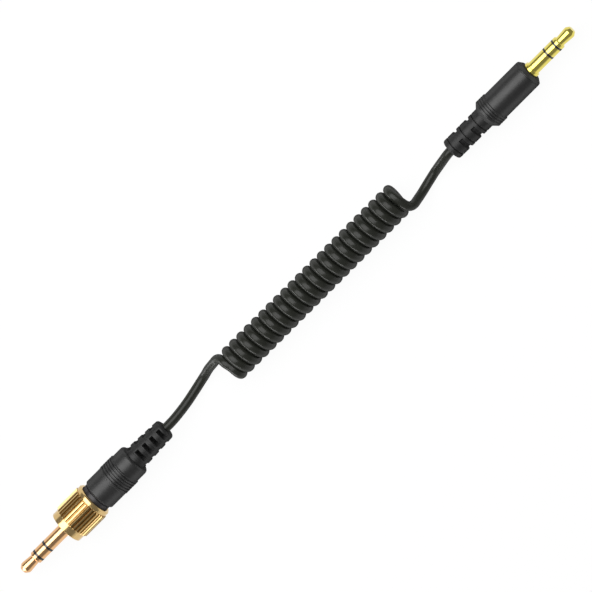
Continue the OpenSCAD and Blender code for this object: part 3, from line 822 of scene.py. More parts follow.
@dataclass
class CurlyCord:
    """The cord from one boot to the other, as one tube.

    Attributes:
        wardrobe: Finishes.
        layout: Sizes that place the cord.
        sides: Faces round the tube.
        per_turn: Rings in a turn of the coil.
        tuck_in: How far the first half turn is drawn in.
        tuck_on: How far the first half turn is drawn along.
        swell: Share by which the cord is thicker where its turns press together.
        swell_rate: How fast the swell sets in, for each share of the coil's stretch.
        axis_gap: Distance from the coil's axis below which a ring no longer turns toward it.
        smooth: Greatest angle that is shaded smooth, in degrees.
        joins: Rings of the coil where the lead from the locking plug ends and the other starts.
        lock_lead: Points of the lead from the locking plug, from the start of the coil's axis.
        plug_lead: Points of the lead to the plain plug, from the end of the coil's axis.
    """

    wardrobe: Wardrobe
    layout: Layout
    sides: int = 20
    per_turn: int = 64
    tuck_in: float = 1.4
    tuck_on: float = 0.3
    swell: float = 0.055
    swell_rate: float = 20.0
    axis_gap: float = 0.2
    smooth: float = 60.0
    joins: tuple[int, int] = (8, 1484)
    lock_lead: tuple[tuple[float, float, float], ...] = (
        (-23.25, 0.55, 0.525), (-22.25, 0.55, 0.525), (-20.6, 0.55, 0.45), (-18.17, 0.71, -0.1),
        (-14.42, 1.24, -1.5), (-10.66, 2.05, -2.9), (-8.7, 2.5, -3.3), (-6.59, 2.92, -3.0),
        (-4.31, 3.42, -2.0), (-1.98, 3.6, -0.9), (-0.73, 3.69, -0.2), (0.3, 3.05, 0.75),
    )
    plug_lead: tuple[tuple[float, float, float], ...] = (
        (-0.4, -2.07, 2.58), (0.05, -3.3, 1.75), (0.94, -3.74, 0.75), (2.22, -3.52, -0.5),
        (3.97, -3.12, -1.9), (6.3, -2.5, -3.1), (8.04, -2.1, -3.33), (9.96, -1.7, -3.1),
        (13.41, -1.18, -1.6), (15.79, -0.87, -0.6), (17.4, -0.825, -0.45), (18.4, -0.825, -0.45),
    )

    def coil_point(self, turn: float) -> Vector:
        """Give a point of the coil, from its own start and axis.

        Args:
            turn: Turns from the coil's start.

        Returns:
            The point in millimetres.
        """
        tuck = math.sin(TURN * turn) ** 2 if turn < 0.5 else 0.0
        radius = self.layout.coil_radius - self.tuck_in * tuck
        return Vector((
            self.layout.pitch * turn + self.tuck_on * tuck,
            radius * math.cos(TURN * turn),
            radius * math.sin(TURN * turn),
        ))

    def curve(self, points: Sequence[Vector], step: float = 0.4) -> list[Vector]:
        """Draw a smooth line through chosen points.

        Args:
            points: Points. The first and the last only set how the line begins and ends.
            step: About how far apart the line's own points are.

        Returns:
            Points from the second chosen point to the one before the last.
        """
        smooth: list[Vector] = []
        for a, b, c, d in zip(points, points[1:], points[2:], points[3:]):
            count = max(2, round((c - b).length / step))
            for k in range(count):
                t = k / count
                smooth.append(
                    0.5 * (2 * b + (c - a) * t + (2 * a - 5 * b + 4 * c - d) * t**2
                           + (3 * b - a - 3 * c + d) * t**3)
                )
        return [*smooth, points[-2]]

    def ease(self, points: list[Vector], join: int, reach: int = 12, passes: int = 10) -> None:
        """Even out the bend where a lead meets the coil.

        Args:
            points: Points of the cord, changed in place.
            join: Number of the point where they meet.
            reach: Points on each side that may move.
            passes: How often the bend is evened out.
        """
        for _ in range(passes):
            eased = []
            for i in range(join - reach, join + reach + 1):
                share = 0.5 * math.cos(math.pi / 2 * (i - join) / (reach + 1)) ** 2
                beside = points[i - 1] + points[i + 1]
                eased.append(points[i] * (1 - share) + beside * (share / 2))
            points[join - reach:join + reach + 1] = eased

    def route(self) -> tuple[list[Vector], list[float]]:
        """Give the cord's middle line.

        Returns:
            Points in millimetres, and the share of the coil's stretch that each point takes.
        """
        size = self.layout
        axis = Vector((size.coil_start, size.coil_y, size.coil_z))
        end = axis + Vector((size.turns * size.pitch, 0, 0))
        first, last = self.joins
        count = int(size.turns * self.per_turn)
        coil = [axis + self.coil_point(k / self.per_turn) for k in range(count + 1)]
        lead = self.curve([*[axis + Vector(p) for p in self.lock_lead], *coil[first:first + 2]])
        tail = self.curve([*coil[last - 1:last + 1], *[end + Vector(p) for p in self.plug_lead]])
        points = [*lead[:-1], *coil[first:last], *tail]
        start, turned = len(lead) - 1, last - first
        shares = [0.0] * start + [k / turned for k in range(turned)] + [1.0] * len(tail)
        for join in (start, start + turned):
            self.ease(points, join)
        return points, shares

    def _rings(
        self, bm: bmesh.types.BMesh, points: list[Vector], shares: list[float]
    ) -> list[list[bmesh.types.BMVert]]:
        """Set a ring of vertices across the tube at every point.

        Args:
            bm: Mesh of the tube.
            points: The cord's middle line.
            shares: Share of the coil's stretch at each point.

        Returns:
            The vertices of each ring. Each holds its ring's share.
        """
        share = bm.verts.layers.float.new("share")
        rings = []
        for i, (point, weight) in enumerate(zip(points, shares)):
            ahead = (points[min(i + 1, len(points) - 1)] - points[max(i - 1, 0)]).normalized()
            out = Vector((0, point.y - self.layout.coil_y, point.z - self.layout.coil_z))
            if out.length < self.axis_gap:
                out = Vector((0, 1, 0))
            side = (out - ahead * out.dot(ahead)).normalized()
            place = Matrix((side, ahead.cross(side), ahead)).transposed().to_4x4()
            pressed = min(1.0, self.swell_rate * weight, self.swell_rate * (1 - weight))
            ring = bmesh.ops.create_circle(
                bm, segments=self.sides, radius=self.layout.cord / 2 * (1 + self.swell * pressed),
                matrix=Matrix.Translation(point) @ place,
            )["verts"]
            for vert in ring:
                vert[share] = weight
            rings.append(ring)
        return rings

    def _skin(
        self,
        bm: bmesh.types.BMesh,
        points: list[Vector],
        rings: list[list[bmesh.types.BMVert]],
    ) -> float:
        """Close the tube over its rings, with a UV map in millimetres along and round it.

        Args:
            bm: Mesh of the tube.
            points: The cord's middle line.
            rings: Vertices of each ring.

        Returns:
            Length of the cord in millimetres.
        """
        uv = bm.loops.layers.uv.new("along")
        length, round_it = 0.0, math.pi * self.layout.cord
        for i, (one, two) in enumerate(zip(rings, rings[1:])):
            step = (points[i + 1] - points[i]).length
            for k in range(self.sides):
                j = (k + 1) % self.sides
                face = bm.faces.new((one[k], one[j], two[j], two[k]))
                left, right = k / self.sides * round_it, (k + 1) / self.sides * round_it
                start, end = length, length + step
                spots = ((left, start), (right, start), (right, end), (left, end))
                for loop, spot in zip(face.loops, spots):
                    loop[uv].uv = spot
            length += step
        bm.faces.new(rings[0])
        bm.faces.new(rings[-1])
        return length

    def build(self) -> None:
        points, shares = self.route()
        bm = bmesh.new()
        length = self._skin(bm, points, self._rings(bm, points, shares))
        bmesh.ops.recalc_face_normals(bm, faces=bm.faces)
        bmesh.ops.scale(bm, vec=(MM, MM, MM), verts=bm.verts)
        piece = make_object("curly_cord", bm, self.wardrobe.get(Slot.CORD), self.smooth)
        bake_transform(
            piece, Body.LOCK_PLUG.value, Body.PLAIN_PLUG.value,
            start=(self.layout.coil_start * MM, 0, 0), end=(self.layout.coil_end * MM, 0, 0),
        )
        # One share for each ring, in place of blend's own weights, keeps the stretched tube round.
        weights = [item.value for item in piece.data.attributes["share"].data]
        piece.data.attributes["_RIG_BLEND"].data.foreach_set("value", weights)
        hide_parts("lead_lock_side", "coil", "lead_plug_side")
        LOG.info("made the cord: %.1f mm long, %d faces", length, len(piece.data.polygons))


# ---------------- contacts


@dataclass
class ContactShaft(PlugPart):
    """Tip, ring and sleeve contacts of a plug, with the insulating rings between them.

    The tip contact ends in a rod. The others run back as tubes, one round the other.

    Attributes:
        prefix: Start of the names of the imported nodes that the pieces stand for.
        slot: Finish of the contacts.
        ring: Start and end of the ring contact.
        sleeve: Start of the sleeve contact.
        rod_end: End of the rod.
        sleeve_outline: Corners of the sleeve contact behind its start, on its outer side.
        shaft: Radius of the shaft.
        sunk: How far the insulating rings lie below the shaft's surface.
        nose: Radius of the flat nose.
        tip: Greatest radius of the tip's cone.
        neck: Radius of the groove behind the cone.
        tip_end: End of the tip contact's head.
        rod: Radius of the rod.
        wall: Thickness of a tube's wall.
        play: Gap between a tube and what it holds.
        rod_rest: How far the rod stands out behind the tubes.
        edge: Rounding of the edges on the shaft.
    """

    prefix: str
    slot: Slot
    ring: tuple[float, float]
    sleeve: float
    rod_end: float
    sleeve_outline: list[Corner]
    shaft: float = 1.75
    sunk: float = 0.015
    nose: float = 0.95
    tip: float = 1.575
    neck: float = 1.325
    tip_end: float = 5.35
    rod: float = 0.5
    wall: float = 0.25
    play: float = 0.04
    rod_rest: float = 1.5
    edge: float = 0.03

    def build(self) -> None:
        """Turn and dress the five pieces."""
        self._tip()
        bounds = (self.tip_end, *self.ring, self.sleeve)
        pieces = (
            ("tip_insulator", Slot.INSULATOR), ("ring_contact", self.slot),
            ("ring_insulator", Slot.INSULATOR),
        )
        for layer, (node, slot) in enumerate(pieces):
            self._ring(node, slot, layer, bounds[layer], bounds[layer + 1])
        self._sleeve(len(pieces))

    def _bore(self, layer: int) -> float:
        """Give the radius inside a tube, counted outward from 0."""
        return self.rod + self.play + layer * (self.wall + self.play)

    def _tip(self) -> None:
        """Turn the tip contact."""
        work = Workpiece(f"{self.prefix}_tip_turned")
        work.turn(rounded([
            Corner(0.0, 0.0),
            Corner(0.0, self.nose, 0.12),
            Corner(0.88, self.tip - 0.02, 0.08),
            Corner(1.35, self.tip, 0.2),
            Corner(self.tip_end - 1.3, self.neck, 0.3),
            Corner(self.tip_end - 0.98, self.neck, 0.08),
            Corner(self.tip_end - 0.95, self.shaft - 0.2, 0.05),
            Corner(self.tip_end - 0.75, self.shaft, 0.08),
            Corner(self.tip_end, self.shaft, self.edge),
            Corner(self.tip_end, self.rod),
            Corner(self.rod_end, self.rod),
            Corner(self.rod_end, 0.0),
        ]))
        self.finish(work, self.slot, f"{self.prefix}_tip_contact")

    def _ring(self, node: str, slot: Slot, layer: int, start: float, end: float) -> None:
        """Turn a ring that shows and the tube that runs back from it.

        Args:
            node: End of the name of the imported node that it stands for.
            slot: Its finish.
            layer: Number of the tube, counted outward from 0.
            start: Start of the ring.
            end: End of the ring.
        """
        shown = self.shaft - (self.sunk if slot is Slot.INSULATOR else 0.0)
        bore, rear = self._bore(layer), self.rod_end - self.rod_rest
        tube = bore + self.wall
        work = Workpiece(f"{self.prefix}_{node}_turned")
        work.turn(rounded([
            Corner(start, bore), Corner(start, shown, self.edge), Corner(end, shown, self.edge),
            Corner(end, tube), Corner(rear, tube), Corner(rear, bore), Corner(start, bore),
        ]))
        self.finish(work, slot, f"{self.prefix}_{node}")

    def _sleeve(self, layer: int) -> None:
        """Turn the sleeve contact.

        Args:
            layer: Number of its tube, counted outward from 0.
        """
        bore = self._bore(layer)
        work = Workpiece(f"{self.prefix}_sleeve_turned")
        work.turn(rounded([
            Corner(self.sleeve, bore), Corner(self.sleeve, self.shaft, self.edge),
            *self.sleeve_outline, Corner(self.sleeve_outline[-1].back, bore),
            Corner(self.sleeve, bore),
        ]))
        self.finish(work, self.slot, f"{self.prefix}_sleeve_contact")


# ---------------- locking plug


@dataclass
class CouplingNut(PlugPart):
    """Knurled coupling nut.

    Attributes:
        front: Place of the front face.
        rear: Place of the rear face.
        teeth: Teeth of the knurl.
        per_tooth: Faces round the nut for each tooth.
        crest: Radius of the knurl's crests.
        depth: Depth of the knurl.
        land: Flat share of a tooth, from its middle to its side.
        flank: Sloping share of a tooth, from its middle to its side.
        chamfer: Width of the chamfer at the knurl's ends.
        bore: Radius of the bore.
        mouth: Radius of the countersunk mouth.
        rim: Radius of the plain rim in front of the knurl.
        collar: Radius of the collar behind the knurl.
        waist: Radius of the groove between the knurl and the collar.
        cup: Radius of the cup in the rear face.
        cup_start: Place of the cup's floor.
        ring_seat: Start and end of the snap ring's seat.
        ring_radius: Radius of the snap ring's seat.
    """

    front: float = 15.75
    rear: float = 26.2
    teeth: int = 32
    per_tooth: int = 12
    crest: float = 5.125
    depth: float = 0.4
    land: float = 0.40
    flank: float = 0.20
    chamfer: float = 0.15
    bore: float = 2.75
    mouth: float = 3.15
    rim: float = 4.65
    collar: float = 4.9
    waist: float = 4.63
    cup: float = 4.13
    cup_start: float = 24.2
    ring_seat: tuple[float, float] = (21.5, 22.1)
    ring_radius: float = 3.2

    def build(self) -> None:
        """Turn, knurl, thread and dress the nut."""
        start, end = self.front + 2.05, self.rear - 1.35
        sink, gap = self.front + 0.4, end + 0.2
        ring_start, ring_end = self.ring_seat
        work = Workpiece("coupling_nut_turned")
        outline = rounded([
            Corner(sink, self.bore),
            Corner(self.front, self.mouth, 0.05),
            Corner(self.front, self.rim, 0.10),
            Corner(start, self.rim, 0.04),
            Corner(start, self.crest - self.chamfer, 0.04),
            Corner(start + self.chamfer, self.crest, 0.06),
            Corner(end - self.chamfer, self.crest, 0.06),
            Corner(end, self.crest - self.chamfer, 0.04),
            Corner(end, self.waist, 0.05),
            Corner(gap, self.waist, 0.05),
            Corner(gap, self.collar, 0.08),
            Corner(self.rear - 0.35, self.collar, 0.08),
            Corner(self.rear, self.collar - 0.3, 0.06),
            Corner(self.rear, self.cup, 0.05),
            Corner(self.cup_start, self.cup),
            Corner(self.cup_start, self.bore),
            Corner(ring_end, self.bore),
            Corner(ring_end, self.ring_radius),
            Corner(ring_start, self.ring_radius),
            Corner(ring_start, self.bore),
            Corner(sink, self.bore),
        ])
        work.turn(outline, self.teeth * self.per_tooth)
        self._knurl(work, start, end)
        self._thread(work)
        self.finish(work, Slot.NUT_GOLD, "lock_nut", smooth=30.0)

    def _tooth(self, angle: float) -> float:
        """Give the share of the knurl's depth that is cut away at an angle.

        Args:
            angle: Direction from the axis in radians.

        Returns:
            The share, 0 on a crest and 1 in a valley.
        """
        phase = (angle / TURN * self.teeth) % 1.0
        edge = abs(phase - 0.5) * 2
        return min(1.0, max(0.0, (edge - self.land) / self.flank))

    def _knurl(self, work: Workpiece, start: float, end: float) -> None:
        """Cut the knurl's valleys and mark them with the groove attribute.

        Args:
            work: The turned nut.
            start: Start of the knurl.
            end: End of the knurl.
        """
        near, above = 0.002, self.crest - self.depth + 0.01
        groove_layer = work.bm.verts.layers.float.new("groove")
        for vert in work.bm.verts:
            level = Vector(vert.co.xy).length
            if start - near < vert.co.z < end + near and level > above:
                cut = self._tooth(math.atan2(vert.co.y, vert.co.x))
                target = min(level, self.crest - self.depth * cut)
                vert.co.x *= target / level
                vert.co.y *= target / level
                # The groove attribute also tells the nut's material where to paint shade into the valleys.
                vert[groove_layer] = cut

    def _thread(self, work: Workpiece) -> None:
        """Wind the thread's ridge inside the mouth.

        Args:
            work: The turned nut.
        """
        root, crest, first = self.bore + 0.02, self.bore - 0.2, self.front + 0.65
        foot, top = 0.22, 0.03
        turns, steps, pitch = 3, 48, 0.5
        corners = [(root, -foot), (crest, -top), (crest, top), (root, foot)]
        verts = [work.bm.verts.new((r, 0, first + z)) for r, z in corners]
        edges = [work.bm.edges.new(pair) for pair in zip(verts, verts[1:] + verts[:1])]
        work.bm.faces.new(verts).normal_update()
        spun = bmesh.ops.spin(
            work.bm, geom=[*verts, *edges], cent=(0, 0, 0), axis=(0, 0, 1),
            dvec=(0, 0, pitch / steps), angle=TURN * turns, steps=turns * steps, use_merge=False,
        )
        last = [v for v in spun["geom_last"] if isinstance(v, bmesh.types.BMVert)]
        bmesh.ops.contextual_create(work.bm, geom=last)


@dataclass
class LockingPlug(PlugPart):
    """The locking plug with its nut.

    Attributes:
        body_start: Front of the housing.
        body_end: Rear of the housing, where the boot starts.
        boot_end: End of the boot.
        boot_radius: Radius of the boot where it starts.
        taper: How much narrower the boot is at its end.
        slots: Slots on each side of the boot.
        slot_pitch: Distance between them.
        slot_half: Half of a slot's width.
        roll: Turn of the boot in degrees.
    """

    body_start: float = 27.5
    body_end: float = 40.8
    boot_end: float = 51.8
    boot_radius: float = 3.3
    taper: float = 0.5
    slots: int = 4
    slot_pitch: float = 2.48
    slot_half: float = 0.58
    roll: float = 8.0

    def build(self) -> None:
        """Build the contacts, the nut, the neck, the housing and the boot."""
        ContactShaft(
            self.wardrobe, self.seat, self.body, "lock", Slot.ROSE_GOLD, ring=(6.0, 8.65),
            sleeve=9.3, rod_end=34.2, sleeve_outline=[
                Corner(19.5, 1.75), Corner(19.5, 1.95), Corner(29.6, 1.95), Corner(29.6, 2.2),
                Corner(30.2, 2.2),
            ],
        ).build()
        CouplingNut(self.wardrobe, self.seat, Body.COUPLING_NUT).build()
        self._neck()
        self._housing()
        self._boot()
        self.wardrobe.dress({
            "lock_bush": Slot.STEEL, "lock_snap_ring": Slot.STEEL,
            "lock_inner_mould": Slot.NATURAL, "lock_wires": Slot.WIRE,
            "lock_cord_crimp": Slot.STEEL, "lock_cord_end": Slot.NECK,
        })

    def _neck(self) -> None:
        """Turn the neck behind the nut, with the spigot that the housing sits on."""
        front, rear, bore = 25.6, 29.2, 2.25
        outer, step, spigot = 4.025, 3.7, 3.2
        shoulder = self.body_start - 0.01
        work = Workpiece("lock_neck_turned")
        work.turn(rounded([
            Corner(front, bore), Corner(front, outer, 0.15),
            Corner(self.body_start - 0.26, outer, 0.04), Corner(self.body_start - 0.24, step, 0.03),
            Corner(shoulder, step), Corner(shoulder, spigot), Corner(rear, spigot),
            Corner(rear, bore), Corner(front, bore),
        ]))
        self.finish(work, Slot.NECK, "lock_neck")

    def _housing(self) -> None:
        """Turn the housing with its fine rings."""
        barrel, band, tail = 4.5, 4.625, 4.375
        bore, rear_bore, rear_wall = 3.25, 2.55, 39.4
        ringed = self.body_start + 5.35
        corners = [
            Corner(self.body_start, bore), Corner(self.body_start, 4.12, 0.04),
            Corner(self.body_start + 0.38, barrel, 0.22), Corner(ringed, barrel, 0.05),
            Corner(ringed + 0.12, band, 0.08),
        ]
        for i in range(1, 6):
            corners += groove(ringed + i * 0.76, band, depth=0.3, halves=(0.17, 0.11), lip=0.07)
        corners += [
            Corner(ringed + 4.1, band, 0.08), Corner(ringed + 4.3, tail, 0.08),
            Corner(self.body_end, tail, 1.25), Corner(self.body_end, rear_bore, 0.03),
            Corner(rear_wall, rear_bore), Corner(rear_wall, bore), Corner(self.body_start, bore),
        ]
        work = Workpiece("lock_housing_moulded")
        work.turn(rounded(corners, steps=5), segments=128)
        self.finish(work, Slot.MOULDED, "lock_body")

    def _boot_radius(self, back: float, sides: Sequence[float]) -> float:
        """Give the boot's radius, with a shallow waist at each side slot.

        Args:
            back: Place on the boot.
            sides: Middles of the side slots.

        Returns:
            The radius.
        """
        dip, reach, curve = 0.12, 0.45, 1.3
        run, length = back - self.body_end, self.boot_end - self.body_end
        level = self.boot_radius - self.taper * run / length
        waist = min(abs(back - s) for s in sides)
        return level - dip * max(0.0, 1 - waist / reach) ** curve

    def _stations(self, cuts: set[float], shoulder: float) -> list[float]:
        """Choose where the boot's outline has its points.

        Args:
            cuts: Edges of the slots, which all get a point.
            shoulder: Place of the last point, before the rounded end.

        Returns:
            Places in order.
        """
        spacing, count, least = 0.155, 66, 0.05
        even = {round(self.body_end + spacing * k, 4) for k in range(1, count + 1)}
        places = cuts | even | {self.body_end, shoulder}
        ordered = sorted(s for s in places if s <= shoulder)
        kept = [ordered[0]]
        for station in ordered[1:]:
            near = station - kept[-1] < least
            if near and station in cuts:
                kept[-1] = station
            elif not near:
                kept.append(station)
        return kept

    def _boot(self) -> None:
        """Mould the slotted boot: waists at the side slots, and slots above and below between them."""
        half, bore, dome = self.slot_half, 1.22, 0.6
        front, step, flange, stem = 38.6, 39.38, 3.15, 2.45
        sides = [self.body_end + 1.15 + i * self.slot_pitch for i in range(self.slots)]
        others = [s + self.slot_pitch / 2 for s in sides]
        cuts = {round(s + d, 4) for s in [*sides, *others] for d in (-half, half)}
        shoulder = self.boot_end - dome
        end_radius = self._boot_radius(shoulder, sides)
        angles = [math.radians(15 * k) for k in range(1, 7)]
        outline = [
            (bore, front), (flange, front), (flange, step), (stem, step), (stem, self.body_end),
            *[(self._boot_radius(s, sides), s) for s in self._stations(cuts, shoulder)],
            *[(end_radius - dome * (1 - math.cos(a)), shoulder + dome * math.sin(a)) for a in angles],
            (bore, self.boot_end), (bore, front),
        ]
        work = Workpiece("lock_boot_moulded")
        work.turn([Vector((radius, 0, back)) for radius, back in outline], segments=72)
        # Every slot's floor gets full painted shade, near black.
        for middles, directions in ((sides, (90, 270)), (others, (0, 180))):
            for middle in middles:
                for toward in directions:
                    work.recess((middle - half, middle + half), toward, half=28.5, floor=1.35)
        work.soften(0.06, above=1.9)
        work.roll(self.roll)
        self.finish(work, Slot.BOOT, "lock_strain_relief", smooth=40.0)


# ---------------- plain plug


@dataclass
class PlainPlug(PlugPart):
    """The plain moulded plug.

    Attributes:
        body_start: Front of the barrel.
        ribs_end: End of the ribs.
        body_end: Rear of the barrel, where the boot starts.
        boot_end: End of the boot.
        boot_radius: Radius of the boot.
        boot_pitch: Distance between the boot's rings, and between its pockets.
        pocket_half: Half of a pocket's width.
        roll: Turn of the boot in degrees.
    """

    body_start: float = 15.0
    ribs_end: float = 30.3
    body_end: float = 31.45
    boot_end: float = 43.35
    boot_radius: float = 2.925
    boot_pitch: float = 4.25
    pocket_half: float = 0.6
    roll: float = 30.0

    def build(self) -> None:
        """Build the contacts, the barrel and the boot."""
        ContactShaft(
            self.wardrobe, self.seat, self.body, "plug", Slot.YELLOW_GOLD, ring=(5.9, 8.3),
            sleeve=8.85, rod_end=21.6, sleeve_outline=[
                Corner(13.98, 1.75, 0.05), Corner(14.0, 2.1, 0.06), Corner(14.12, 2.15, 0.06),
                Corner(15.0, 2.15, 0.04), Corner(15.0, 2.0), Corner(16.5, 2.0), Corner(16.5, 2.2),
                Corner(17.2, 2.2),
            ],
        ).build()
        self._barrel()
        self._boot()
        self.wardrobe.dress({
            "plug_inner_mould": Slot.NATURAL, "plug_wires": Slot.WIRE,
            "plug_cord_crimp": Slot.STEEL, "plug_cord_end": Slot.NECK,
        })

    def _barrel(self) -> None:
        """Turn the barrel with its chamfered front and its ribs."""
        front, ribs = self.body_start, self.ribs_end - 2.8
        barrel, ribbed, lip = 3.925, 4.15, 3.80
        front_bore, hollow, rear_bore = 2.06, 2.825, 2.18
        front_wall, rear_wall = 16.5, 29.35
        corners = [
            Corner(front, front_bore), Corner(front, 2.97, 0.10), Corner(front + 0.70, 3.88, 0.08),
            Corner(front + 0.76, lip, 0.03), Corner(front + 0.92, lip, 0.03),
            Corner(front + 0.98, barrel, 0.05), Corner(ribs - 0.02, barrel, 0.06),
            Corner(ribs + 0.12, ribbed, 0.1),
        ]
        for i in range(1, 4):
            corners += groove(ribs + 0.7 * i, ribbed, depth=0.2, halves=(0.16, 0.06), lip=0.08)
        corners += [
            Corner(self.ribs_end, ribbed, 0.2), Corner(self.body_end, 3.02, 0.12),
            Corner(self.body_end, rear_bore), Corner(rear_wall, rear_bore),
            Corner(rear_wall, hollow), Corner(front_wall, hollow), Corner(front_wall, front_bore),
            Corner(front, front_bore),
        ]
        work = Workpiece("plain_barrel_moulded")
        work.turn(rounded(corners, steps=5), segments=128)
        self.finish(work, Slot.MOULDED, "plug_body")

    def _boot(self) -> None:
        """Mould the boot with its rings and side pockets."""
        radius, half, bore = self.boot_radius, self.pocket_half, 1.22
        front, step, flange, stem = 28.45, 29.33, 2.775, 2.13
        rings = [self.boot_end - 1.5 - self.boot_pitch * i for i in range(3)]
        pockets = [self.boot_end - 4.1 - self.boot_pitch * i for i in range(2)]
        forms = {m: groove(m, radius, depth=0.4, halves=(0.19, 0.12), lip=0.06) for m in rings}
        forms |= {m: [Corner(m - half, radius), Corner(m + half, radius)] for m in pockets}
        corners = [
            Corner(front, bore), Corner(front, flange), Corner(step, flange), Corner(step, stem),
            Corner(self.body_end, stem), Corner(self.body_end, radius, 0.05),
            *[corner for middle in sorted(forms) for corner in forms[middle]],
            Corner(self.boot_end, radius, 0.6), Corner(self.boot_end, bore, 0.05),
            Corner(front, bore),
        ]
        work = Workpiece("plain_boot_moulded")
        work.turn(rounded(corners, steps=5), segments=96)
        # The pockets' floors get a little painted shade.
        for middle in pockets:
            for toward in (90, 270):
                work.recess(
                    (middle - half, middle + half), toward, half=63.8, floor=radius - 0.75, painted_shade=0.35
                )
        work.soften(0.06, above=2.2)
        work.roll(self.roll)
        self.finish(work, Slot.BOOT, "plug_strain_relief", smooth=40.0)


# ---------------- studio


@dataclass(frozen=True)
class Lamp:
    """A rectangular lamp that faces the object.

    Attributes:
        name: Name of the lamp.
        place: Where it hangs, in metres.
        size: Its length and width in metres.
        power: Its power in watts.
    """

    name: str
    place: tuple[float, float, float]
    size: tuple[float, float]
    power: float

    def hang(self) -> None:
        """Put the lamp into the scene, out of the camera's sight."""
        data = bpy.data.lights.new(self.name, "AREA")
        data.shape, data.size, data.size_y, data.energy = "RECTANGLE", *self.size, self.power
        lamp = bpy.data.objects.new(self.name, data)
        lamp.location = self.place
        way = Vector((0, 0, 0)) - Vector(self.place)
        lamp.rotation_euler = way.to_track_quat("-Z", "Y").to_euler()
        lamp.visible_camera = False
        bpy.context.scene.collection.objects.link(lamp)


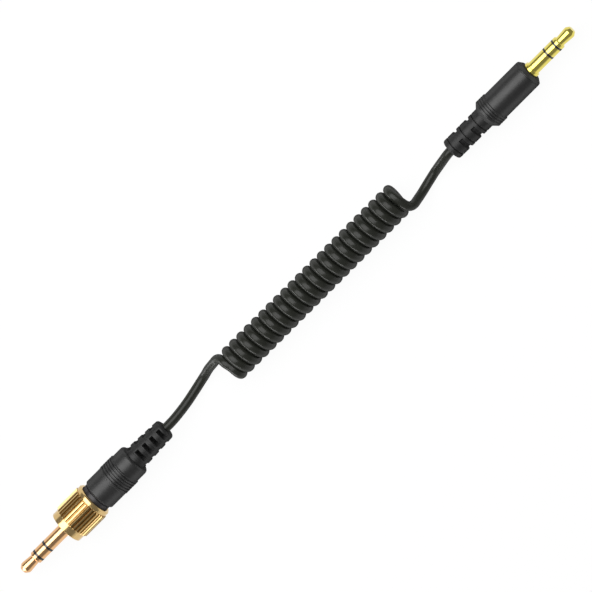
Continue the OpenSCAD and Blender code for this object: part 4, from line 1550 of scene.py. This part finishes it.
@dataclass
class Studio:
    """Camera, lamps, floor and surroundings.

    Attributes:
        tilt: Lean of the view towards +X, in degrees.
        picture: Width of the view at the object, in metres.
        shift: Offset of the view along and across the cord, in metres.
        height: Height that the camera is aimed at, in metres.
        lens: Focal length in millimetres.
        sensor: Width of the camera's sensor in millimetres.
        clip: Nearest and farthest distance that the camera sees, in metres.
        lamps: The lamps.
        sky: Brightness of the surroundings below and above the horizon.
        horizon: Where the one turns into the other, from 0 straight down to 1 straight up.
        floor_half: Half of the floor's side in metres.
        paper: Brightness of the floor as paper.
        glow: Share of the floor's own white that the camera and mirrors see.
    """

    tilt: float = 14.0
    picture: float = 0.14709
    shift: tuple[float, float] = (0.00087, 0.000495)
    height: float = 0.0046
    lens: float = 1000.0
    sensor: float = 36.0
    clip: tuple[float, float] = (0.1, 50.0)
    lamps: tuple[Lamp, ...] = (
        Lamp("overhead_softbox", (0, 0.21, 0.50), (1.0, 0.50), 5.4),
        Lamp("low_softbox", (0, -0.60, 0.13), (1.0, 0.22), 0.36),
        Lamp("end_strip", (-0.60, 0, 0.11), (1.0, 0.14), 3.2),
    )
    sky: tuple[float, float] = (1.0, 0.26)
    horizon: tuple[float, float] = (0.50, 0.56)
    floor_half: float = 1.5
    paper: float = 0.8
    glow: float = 0.95

    def camera(self) -> None:
        """Set up the camera above the cord, turned so that the cord runs corner to corner."""
        lean = math.radians(self.tilt)
        toward = Vector((math.sin(lean), 0, math.cos(lean)))
        along = Vector((math.cos(lean), 0, -math.sin(lean)))
        across = Vector((0, 1, 0))
        right, up = (along - across).normalized(), (along + across).normalized()
        data = bpy.data.cameras.new("studio_camera")
        data.lens, data.sensor_width = self.lens, self.sensor
        data.clip_start, data.clip_end = self.clip
        distance = self.picture * self.lens / self.sensor
        aim = Vector((0, 0, self.height)) + along * self.shift[0] + across * self.shift[1]
        facing = Matrix((right, up, toward)).transposed().to_4x4()
        camera = bpy.data.objects.new("studio_camera", data)
        camera.matrix_world = Matrix.Translation(aim + toward * distance) @ facing
        bpy.context.scene.collection.objects.link(camera)
        bpy.context.scene.camera = camera

    def surroundings(self) -> None:
        """Set surroundings that are bright below the horizon and dim above it."""
        world = bpy.data.worlds.new("surroundings")
        bpy.context.scene.world = world
        world.use_nodes = True
        tree = world.node_tree
        tree.nodes.clear()
        output = tree.nodes.new("ShaderNodeOutputWorld")
        background = tree.nodes.new("ShaderNodeBackground")
        place = tree.nodes.new("ShaderNodeTexCoord")
        split = tree.nodes.new("ShaderNodeSeparateXYZ")
        ramp = tree.nodes.new("ShaderNodeValToRGB")
        for stop, position, level in zip(ramp.color_ramp.elements, self.horizon, self.sky):
            stop.position = position
            stop.color = (level, level, level, 1)
        shift = tree.nodes.new("ShaderNodeMapRange")
        shift.inputs["From Min"].default_value = -1
        for source, target in (
            (place.outputs["Generated"], split.inputs[0]),
            (split.outputs["Z"], shift.inputs["Value"]),
            (shift.outputs["Result"], ramp.inputs["Fac"]),
            (ramp.outputs["Color"], background.inputs["Color"]),
            (background.outputs["Background"], output.inputs["Surface"]),
        ):
            tree.links.new(source, target)

    def _floor_material(self) -> bpy.types.Material:
        """Make paper that looks white to the camera and in mirrors, but keeps a soft shadow.

        Returns:
            The material.
        """
        material = bpy.data.materials.new("pale_floor")
        material.use_nodes = True
        tree = material.node_tree
        tree.nodes.clear()
        output = tree.nodes.new("ShaderNodeOutputMaterial")
        paper = tree.nodes.new("ShaderNodeBsdfDiffuse")
        paper.inputs["Color"].default_value = (self.paper, self.paper, self.paper, 1)
        white = tree.nodes.new("ShaderNodeEmission")
        rays = tree.nodes.new("ShaderNodeLightPath")
        seen, through, share = (tree.nodes.new("ShaderNodeMath") for _ in range(3))
        seen.operation = through.operation = "MAXIMUM"
        share.operation = "MULTIPLY"
        share.inputs[1].default_value = self.glow
        mix = tree.nodes.new("ShaderNodeMixShader")
        for source, target in (
            (rays.outputs["Is Camera Ray"], seen.inputs[0]),
            (rays.outputs["Is Glossy Ray"], seen.inputs[1]),
            (seen.outputs[0], through.inputs[0]),
            (rays.outputs["Is Transmission Ray"], through.inputs[1]),
            (through.outputs[0], share.inputs[0]),
            (share.outputs[0], mix.inputs[0]),
            (paper.outputs[0], mix.inputs[1]),
            (white.outputs[0], mix.inputs[2]),
            (mix.outputs[0], output.inputs["Surface"]),
        ):
            tree.links.new(source, target)
        return material

    def floor(self) -> None:
        """Lay the pale floor."""
        bm = bmesh.new()
        bmesh.ops.create_grid(bm, x_segments=8, y_segments=8, size=self.floor_half)
        make_object("floor", bm, self._floor_material(), smooth=0.0)

    def build(self) -> None:
        """Hang the lamps, set the surroundings and lay the floor."""
        for lamp in self.lamps:
            lamp.hang()
        self.surroundings()
        self.floor()


def main() -> None:
    """Build the scene: camera, cord, plugs, lamps and floor."""
    logging.basicConfig(level=logging.INFO, format="%(name)s: %(message)s")
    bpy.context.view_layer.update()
    scene = bpy.context.scene
    scene.view_settings.view_transform = "Standard"
    layout = Layout()
    wardrobe = Wardrobe()
    studio = Studio()
    studio.camera()
    CurlyCord(wardrobe, layout).build()
    LockingPlug(wardrobe, layout.lock_seat, Body.LOCK_PLUG).build()
    PlainPlug(wardrobe, layout.plug_seat, Body.PLAIN_PLUG).build()
    studio.build()


if __name__ == "__main__":
    main()
